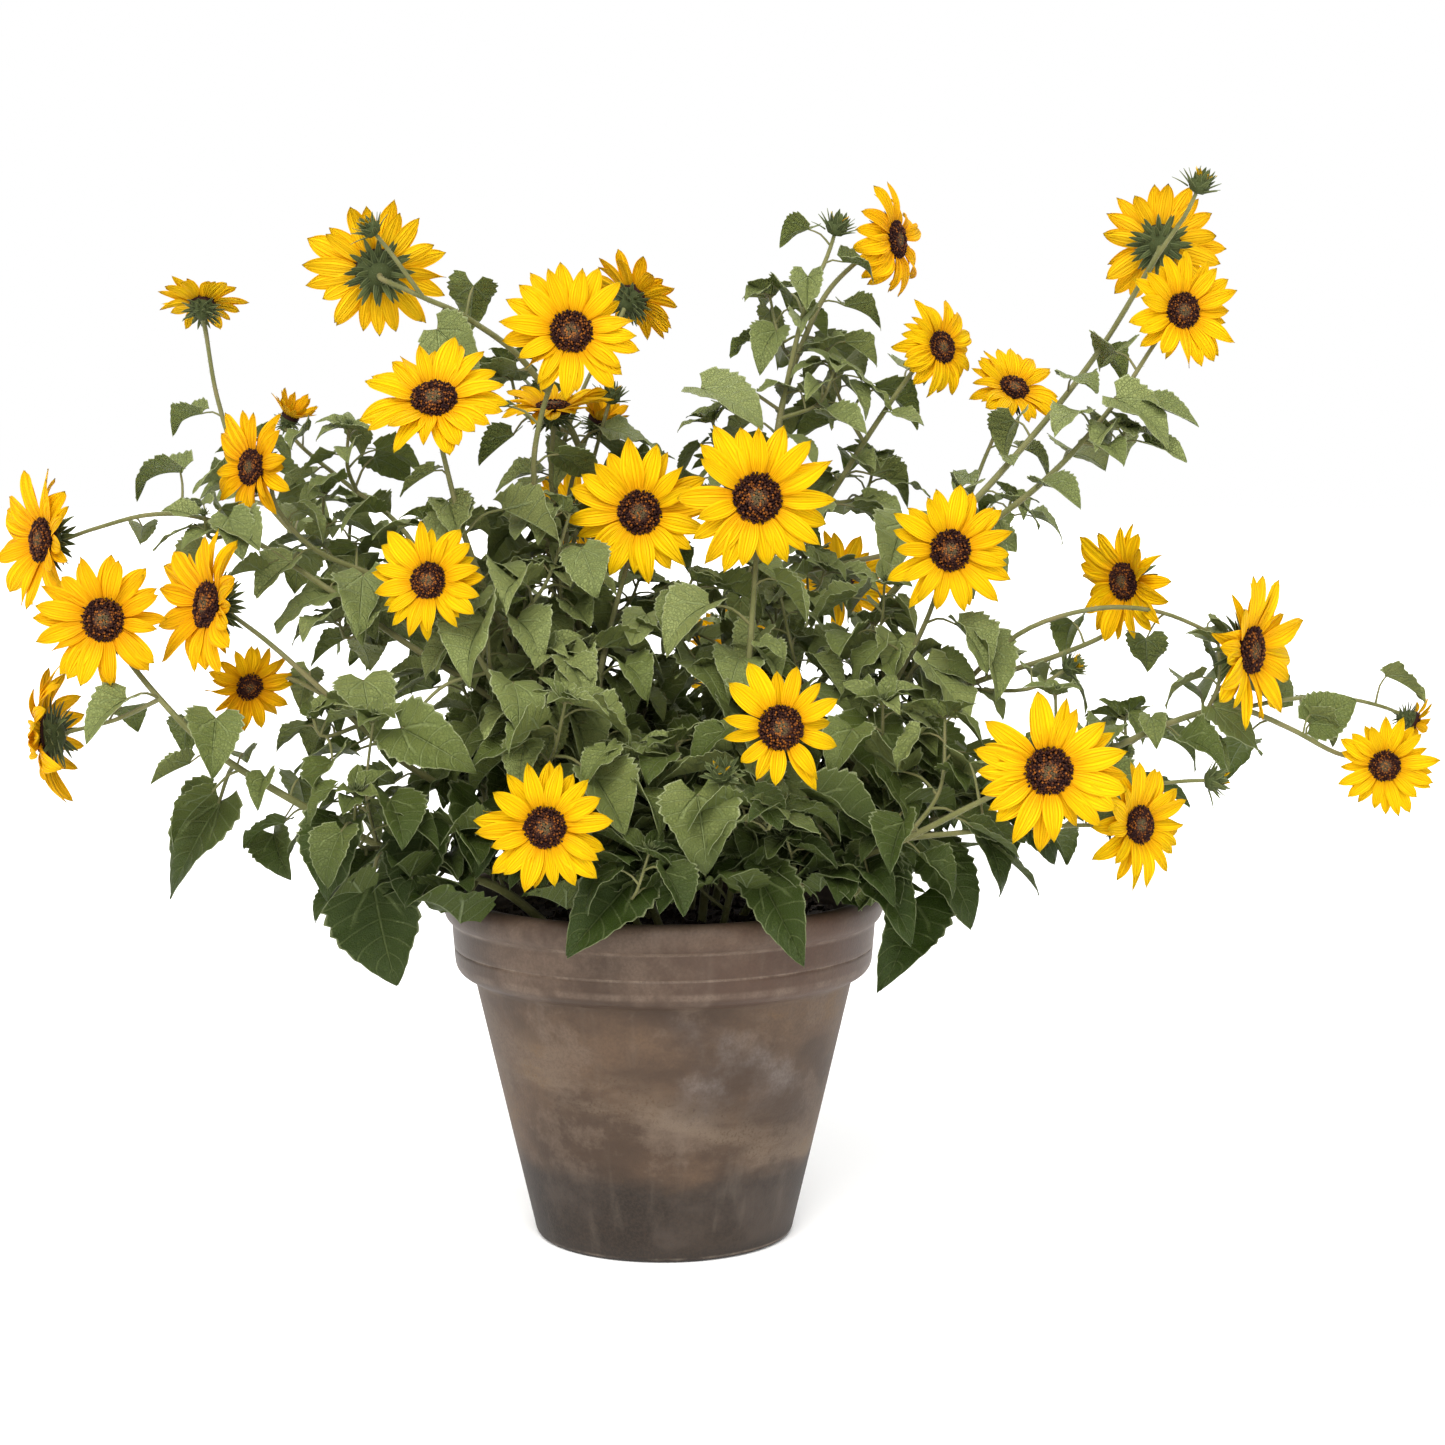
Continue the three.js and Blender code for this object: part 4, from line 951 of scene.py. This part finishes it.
def leaf_at(path, u, angle, long, wave):
    """How a leaf stands: where it leaves its stem, its blade's base and tip, its upper side, its width."""
    root, along = path.at(u)
    e1, e2 = square_to(along)
    out = spoke(e1, e2, angle)
    base = root + unit(out + 0.45 * UP) * long * (0.5 + 0.15 * wave)
    level = np.array([out[0], out[1], 0]) + unit(base * (1, 1, 0)) * 0.35
    droop = math.radians(34 + 20 * math.sin(5 * wave + angle))
    heading = unit(level) * math.cos(droop) - UP * math.sin(droop)
    side = unit(np.cross(heading, UP))
    roll = math.radians(18 * math.sin(7 * wave + 2 * angle))
    normal = np.cross(side, heading) * math.cos(roll) + side * math.sin(roll)
    return root, base, base + heading * long, normal, long * (0.74 + 0.08 * wave)


PAST_BACK = 8 * MM
CLEAR_OF_POT = 12 * MM
CLEAR_OF_HEAD = 8 * MM
SIGHT_DEPTH = 240 * MM


def has_room(leaf):
    """Not well past the CAD box at the back, nor in the pot, nor in a head or in front of one."""
    _, base, tip, _, _ = leaf
    middle = (base + tip) / 2
    if tip[1] > cad_high[1] + PAST_BACK:
        return False
    for point in (middle, tip):
        if math.hypot(point[0], point[1]) < LIP + CLEAR_OF_POT and point[2] < POT_TALL + 8 * MM:
            return False
    for centre, facing, radius in heads.values():
        away = middle - centre
        ahead = away @ facing
        beside = math.sqrt(max(away @ away - ahead ** 2, 0))
        if abs(ahead) < 22 * MM and beside < radius + CLEAR_OF_HEAD:
            return False
        if 0 < ahead < SIGHT_DEPTH and beside < radius + 4 * MM:
            return False
    return True


def clears_rim(leaf):
    """Only the few leaves listed as hanging reach down over the pot's rim."""
    tip = leaf[2]
    return math.hypot(tip[0], tip[1]) > 0.27 or tip[2] > POT_TALL + 0.014


def raised(leaf):
    """The same leaf held up towards the light instead of drooping."""
    root, base, tip, _, wide = leaf
    heading = unit(tip * (1, 1, 0) - base * (1, 1, 0)) * math.cos(0.35) + UP * math.sin(0.35)
    normal = np.cross(unit(np.cross(heading, UP)), heading)
    return root, base, base + heading * np.linalg.norm(tip - base), normal, wide


def leaves_on(path, count, long, turn, first, last):
    made = []
    for i in range(count):
        part = (i + 0.5) / count
        wave = math.sin(2.4 * i + turn)
        size = long * (1.12 - 0.45 * part) * (1 + 0.15 * wave)
        leaf = leaf_at(path, first + (last - first) * part, math.radians(turn) + i * GOLDEN, size, wave)
        if not clears_rim(leaf):
            leaf = raised(leaf)
        if has_room(leaf) and clears_rim(leaf):
            made.append(leaf)
    return made


def shoots_on(path, count, turn, first=0.22, last=0.72):
    """Side shoots, which leave their run at a slant and bend upwards, each with its turn."""
    made = []
    for i in range(count):
        here, along = path.at(first + (last - first) * (i + 0.5) / count)
        e1, e2 = square_to(along)
        angle = math.radians(turn + 65) + i * GOLDEN
        out = spoke(e1, e2, angle)
        reach = (62 + 22 * math.sin(3.1 * i + turn)) * MM
        bend = here + out * reach * 0.55 + along * reach * 0.3
        end = bend + out * reach * 0.25 + UP * reach * 0.55
        if has_room((here, bend, end, UP, 0)):
            made.append((Path([here, bend, end]), turn + 90 * i))
    return made


def tuft(at, heading, count, long, turn):
    """Young leaves crowded round the tip of a shoot."""
    e1, e2 = square_to(heading)
    made = []
    for i in range(count):
        angle = turn + i * GOLDEN
        out = spoke(e1, e2, angle)
        size = long * (1 - 0.45 * i / count)
        way = unit(out + heading * (0.15 + 0.5 * i / count))
        base = at + out * 0.18 * size - heading * 0.1 * size
        normal = unit(heading - way * (way @ heading))
        leaf = (at - heading * 0.15 * size, base, base + way * size, normal, size * 0.62)
        if has_room(leaf):
            made.append(leaf)
    return made


def hanging_leaf(paths, base, tip, wide):
    base, tip = np.array(base) * MM, np.array(tip) * MM
    spots = [path.at(k / 60)[0] for path in paths for k in range(61)]
    root = min(spots, key=lambda p: np.linalg.norm(p - base))
    heading = unit(tip - base)
    outward = unit(unit(base * (1, 1, 0)) * 0.5 + UP * 0.6 + np.array([0, -0.9, 0]))
    return root, base, tip, unit(outward - heading * (outward @ heading)), wide * MM


def put_leaf(blades, wood, leaf, rng):
    root, base, tip, normal, wide = leaf
    heading = unit(tip - base)
    side = np.cross(heading, normal)
    long = np.linalg.norm(tip - base)
    curl = rng.uniform(0.1, 1.25)
    grid = LARGE_BLADE if long > 0.034 else SMALL_BLADE
    fold = rng.uniform(0.1, 0.95)
    wave = rng.uniform(0.016, 0.07)
    phase = rng.uniform(0, 6)
    sheet = blade(grid, long, wide, fold, curl, wave, phase, rng.uniform(-0.7, 0.7))
    lift = heading * math.cos(curl * 0.45) + normal * math.sin(curl * 0.45)
    face = np.cross(side, lift)
    points = set_in(sheet, base, side, lift, face)
    tone = np.full_like(grid[0], rng.uniform())
    slab(points, LEAF_THICK, np.stack([grid[0], grid[1], tone], -1), blades)
    sag = (root + base) / 2 + UP * 0.12 * np.linalg.norm(base - root)
    stalk = Path([root, sag, base + lift * 0.06 * long - face * 0.0003])
    thick = max(0.8, long / MM * 0.021) * MM
    put_tube(wood, stalk, thick * 1.15, thick * 0.75, 6 * MM, 8, 0, rng.uniform())


BUD_BRACTS = 26


def put_bud(bundle, at, along, size, rng, open_part, slots):
    """A bud: pointed bracts crowded round a small knob, some with yellow showing in the middle."""
    right, ahead = basis(along)
    knob = [(0.1, -0.55), (0.5, -0.45), (0.78, -0.1), (0.74, 0.3), (0.4, 0.5), (0.1, 0.55)]
    put_turned(bundle, at, along, [(r * size, h * size) for r, h in knob], 14, (0.3, 0.5, 0.4), slots[0])
    for k in range(BUD_BRACTS):
        part = k / BUD_BRACTS
        angle = k * GOLDEN
        out = spoke(right, ahead, angle)
        side = np.cross(out, along)
        lift = 0.45 + 0.95 * part + rng.uniform(-0.2, 0.2)
        reach = size * rng.uniform(0.95, 1.4) * (1.1 - 0.35 * part)
        sheet = bract_sheet(reach, size * 0.5, lift, 0.25 - 0.5 * part)
        place = at + out * size * (0.72 - 0.42 * part) + along * size * (-0.35 + 0.75 * part)
        points = set_in(sheet, place, side, out, along)
        tone = np.full_like(bract_t, rng.uniform())
        slab(points, BRACT_THICK, np.stack([bract_t, bract_v, tone], -1), bundle, slots[0], slots[0])
    for k in range(int(14 * open_part)):
        angle = k * GOLDEN
        out = spoke(right, ahead, angle)
        side = np.cross(out, along)
        sheet = bract_sheet(size * rng.uniform(0.7, 1.0), size * 0.34, 1.2, 0.4)
        points = set_in(sheet, at + out * size * 0.3 + along * size * 0.35, side, out, along)
        growth = np.stack([bract_t, bract_v, bract_t * 0 + 0.2], -1)
        slab(points, 0.0003, growth, bundle, slots[1], slots[1])


def leaf_finish(name, upper):
    f = Finish(name, Specular_IOR_Level=0.24 if upper else 0.12)
    along, across, tone = f.growth()
    spot = f.place()
    side = abs(across)
    midrib = 1 - side.ramp(0.012, 0.045)
    basal = 1 - abs(side - along * 1.25).ramp(0.02, 0.07)
    basal = basal * (1 - along.ramp(0.3, 0.55))
    rank = (along * 6.5 - side * 1.5).fraction()
    lateral = 1 - abs(rank - 0.5).ramp(0.03, 0.085)
    veins = midrib.maths("MAXIMUM", basal * 0.8).maths("MAXIMUM", lateral * 0.55)
    net = f.add("TexVoronoi", {"feature": "DISTANCE_TO_EDGE"}, {"Vector": spot, "Scale": 420})
    mesh = 1 - net.ramp(0.02, 0.12)
    cloud = f.noise(spot, 55, 3, 0.6)
    hair = f.noise(spot, 1300, 2, 0.6)
    # leaves are painted darker and deeper green near the pot and paler at the top: painted shade low down
    # and painted light high up, and the pale hairs, net, veins and margin fade in that painted shade
    tall = f.parts(spot)[2] + tone * 0.05
    painted_shade_low = 1 - tall.ramp(0.33, 0.48)
    painted_light_high = tall.ramp(0.36, 0.56)
    if upper:
        colour = f.mix(tone, (0.074, 0.105, 0.005), (0.24, 0.275, 0.075))
        colour = f.mix(cloud.ramp(0.35, 0.7) * 0.5, colour, (0.11, 0.15, 0.028))
        colour = f.mix(painted_light_high * 0.5, colour, (0.3, 0.335, 0.125))
        colour = f.mix(painted_shade_low * 0.92, colour, (0.02, 0.038, 0.003))
        colour = f.mix(hair.ramp(0.5, 0.75) * (0.2 - painted_shade_low * 0.14), colour, (0.24, 0.27, 0.13))
        colour = f.mix(mesh * (0.25 - painted_shade_low * 0.16), colour, (0.2, 0.25, 0.08))
        colour = f.mix(veins * (0.65 - painted_shade_low * 0.38), colour, (0.32, 0.38, 0.15))
        # a pale margin round each blade: partly its hairy edge, partly a painted highlight along the rim
        edge = side.ramp(0.93, 0.985)
        colour = f.mix(edge * (0.75 - painted_shade_low * 0.35), colour, (0.42, 0.46, 0.24))
    else:
        colour = f.mix(tone, (0.15, 0.185, 0.045), (0.23, 0.255, 0.085))
        # undersides of the low leaves darker: painted shade
        colour = f.mix(painted_shade_low * 0.75, colour, (0.04, 0.065, 0.012))
        colour = f.mix(veins * 0.6, colour, (0.3, 0.36, 0.18))
    height = cloud * 0.6 - veins * (1 if upper else -1) - mesh * 0.35 + hair * 0.25
    f.feed(colour, 0.36 + cloud * 0.26, height, 1.0, 0.0018)
    glow = f.add("BsdfTranslucent", None, {"Color": (0.16, 0.26, 0.012)})
    shown = f.add("MixShader", None, {0: 0.22, 1: Value(f, f.shader.outputs[0]), 2: glow})
    f.tree.links.new(shown.socket, f.tree.nodes["Material Output"].inputs["Surface"])
    return f.material


def stalk_finish():
    f = Finish("bristly_stalk", Specular_IOR_Level=0.25, Sheen_Weight=0.1, Sheen_Roughness=0.4)
    _, around_it, tone = f.growth()
    spot = f.place()
    blotch = f.noise(spot, 45, 4, 0.6)
    fleck = f.noise(spot, 620, 3, 0.6)
    line = (around_it * 9 + blotch * 3).sine() * 0.5 + 0.5
    colour = f.mix(blotch.ramp(0.35, 0.7), (0.105, 0.108, 0.03), (0.17, 0.165, 0.06))
    colour = f.mix(tone * blotch.ramp(0.42, 0.72) * 0.5, colour, (0.12, 0.07, 0.035))
    colour = f.mix(line * 0.2, colour, (0.2, 0.21, 0.09))
    colour = f.mix(fleck.ramp(0.6, 0.72) * 0.35, colour, (0.3, 0.33, 0.2))
    return f.feed(colour, 0.6, fleck + line * 0.5, 0.5, 0.0005)


def bristle_finish():
    f = Finish("pale_bristles", Specular_IOR_Level=0.3)
    hair = f.noise(f.place(), 90, 2)
    colour = f.mix(hair.ramp(0.3, 0.7), (0.25, 0.26, 0.14), (0.38, 0.38, 0.24))
    return f.feed(colour, 0.7)


leaf_upper = leaf_finish("leaf_upper_face", True)
leaf_lower = leaf_finish("leaf_lower_face", False)
stalk_skin = stalk_finish()
bristles = bristle_finish()

for number in sorted({run[0] for run in RUNS}):
    rng = np.random.default_rng(500 + number)
    node = f"stem_{number:02d}"
    wood, blades = Bundle(), Bundle()
    paths = []
    for _, thick, count, long, turn, shoots, tip, points in (run for run in RUNS if run[0] == number):
        path = Path(np.array(points) * MM)
        paths.append(path)
        rooted = points[0][2] < SOIL_TOP / MM
        first, last = thick * 0.95 * MM, max(thick * 0.45, 1.4) * MM
        put_tube(wood, path, first, last, 9 * MM, 12, 0, rng.uniform(), 0.05)
        put_bristles(wood, path, first, last, rng, 1)
        if tip == "head":
            end, _ = path.at(1)
            middle, facing, _ = min(heads.values(), key=lambda head: np.linalg.norm(head[0] - end))
            neck = Path([path.at(0.94)[0], end, middle - facing * 11 * MM])
            put_tube(wood, neck, last * 1.05, last * 1.4, 3 * MM, 12, 0, rng.uniform(), 0.05)
        leaves = leaves_on(path, count, long * MM, turn, 0.14 if rooted else 0.25, 0.86)
        if rooted:
            leaves += leaves_on(path, count, long * 0.75 * MM, turn + 200, 0.12, 0.62)
        side_shoots = [(shoot, shoot_turn, 1.9) for shoot, shoot_turn in shoots_on(path, shoots, turn)]
        low_shoots = shoots_on(path, 3 if rooted else 0, turn + 140, 0.06, 0.42)
        side_shoots += [(shoot, shoot_turn, 1.6) for shoot, shoot_turn in low_shoots]
        for shoot, shoot_turn, girth in side_shoots:
            put_tube(wood, shoot, girth * MM, girth * 0.6 * MM, 7 * MM, 10, 0, rng.uniform(), 0.05)
            put_bristles(wood, shoot, girth * MM, girth * 0.6 * MM, rng, 1, 800)
            leaves += leaves_on(shoot, 6, long * 0.8 * MM, shoot_turn, 0.25, 1)
            end, heading = shoot.at(1)
            leaves += tuft(end, heading, 6, long * 0.5 * MM, rng.uniform(0, 6))
            put_bud(wood, end, heading, rng.uniform(3, 5.5) * MM, rng, 0, (2, 3))
        for leaf in leaves:
            put_leaf(blades, wood, leaf, rng)
        if tip == "bud":
            end, heading = path.at(1)
            put_bud(wood, end, heading, rng.uniform(9.5, 12) * MM, rng, rng.uniform(0.2, 1), (2, 3))
    for stem, base, tip_at, wide in HANGING:
        if stem == number:
            put_leaf(blades, wood, hanging_leaf(paths, base, tip_at, wide), rng)
    stalks = wood.piece(f"stalks_{number:02d}", [stalk_skin, bristles, bract, petal_face], sharp=60)
    foliage = blades.piece(f"leaves_{number:02d}", [leaf_upper, leaf_lower], sharp=60)
    for made, slot in ((stalks, "stalks"), (foliage, "greenery")):
        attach(made, "root")
        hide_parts(node)
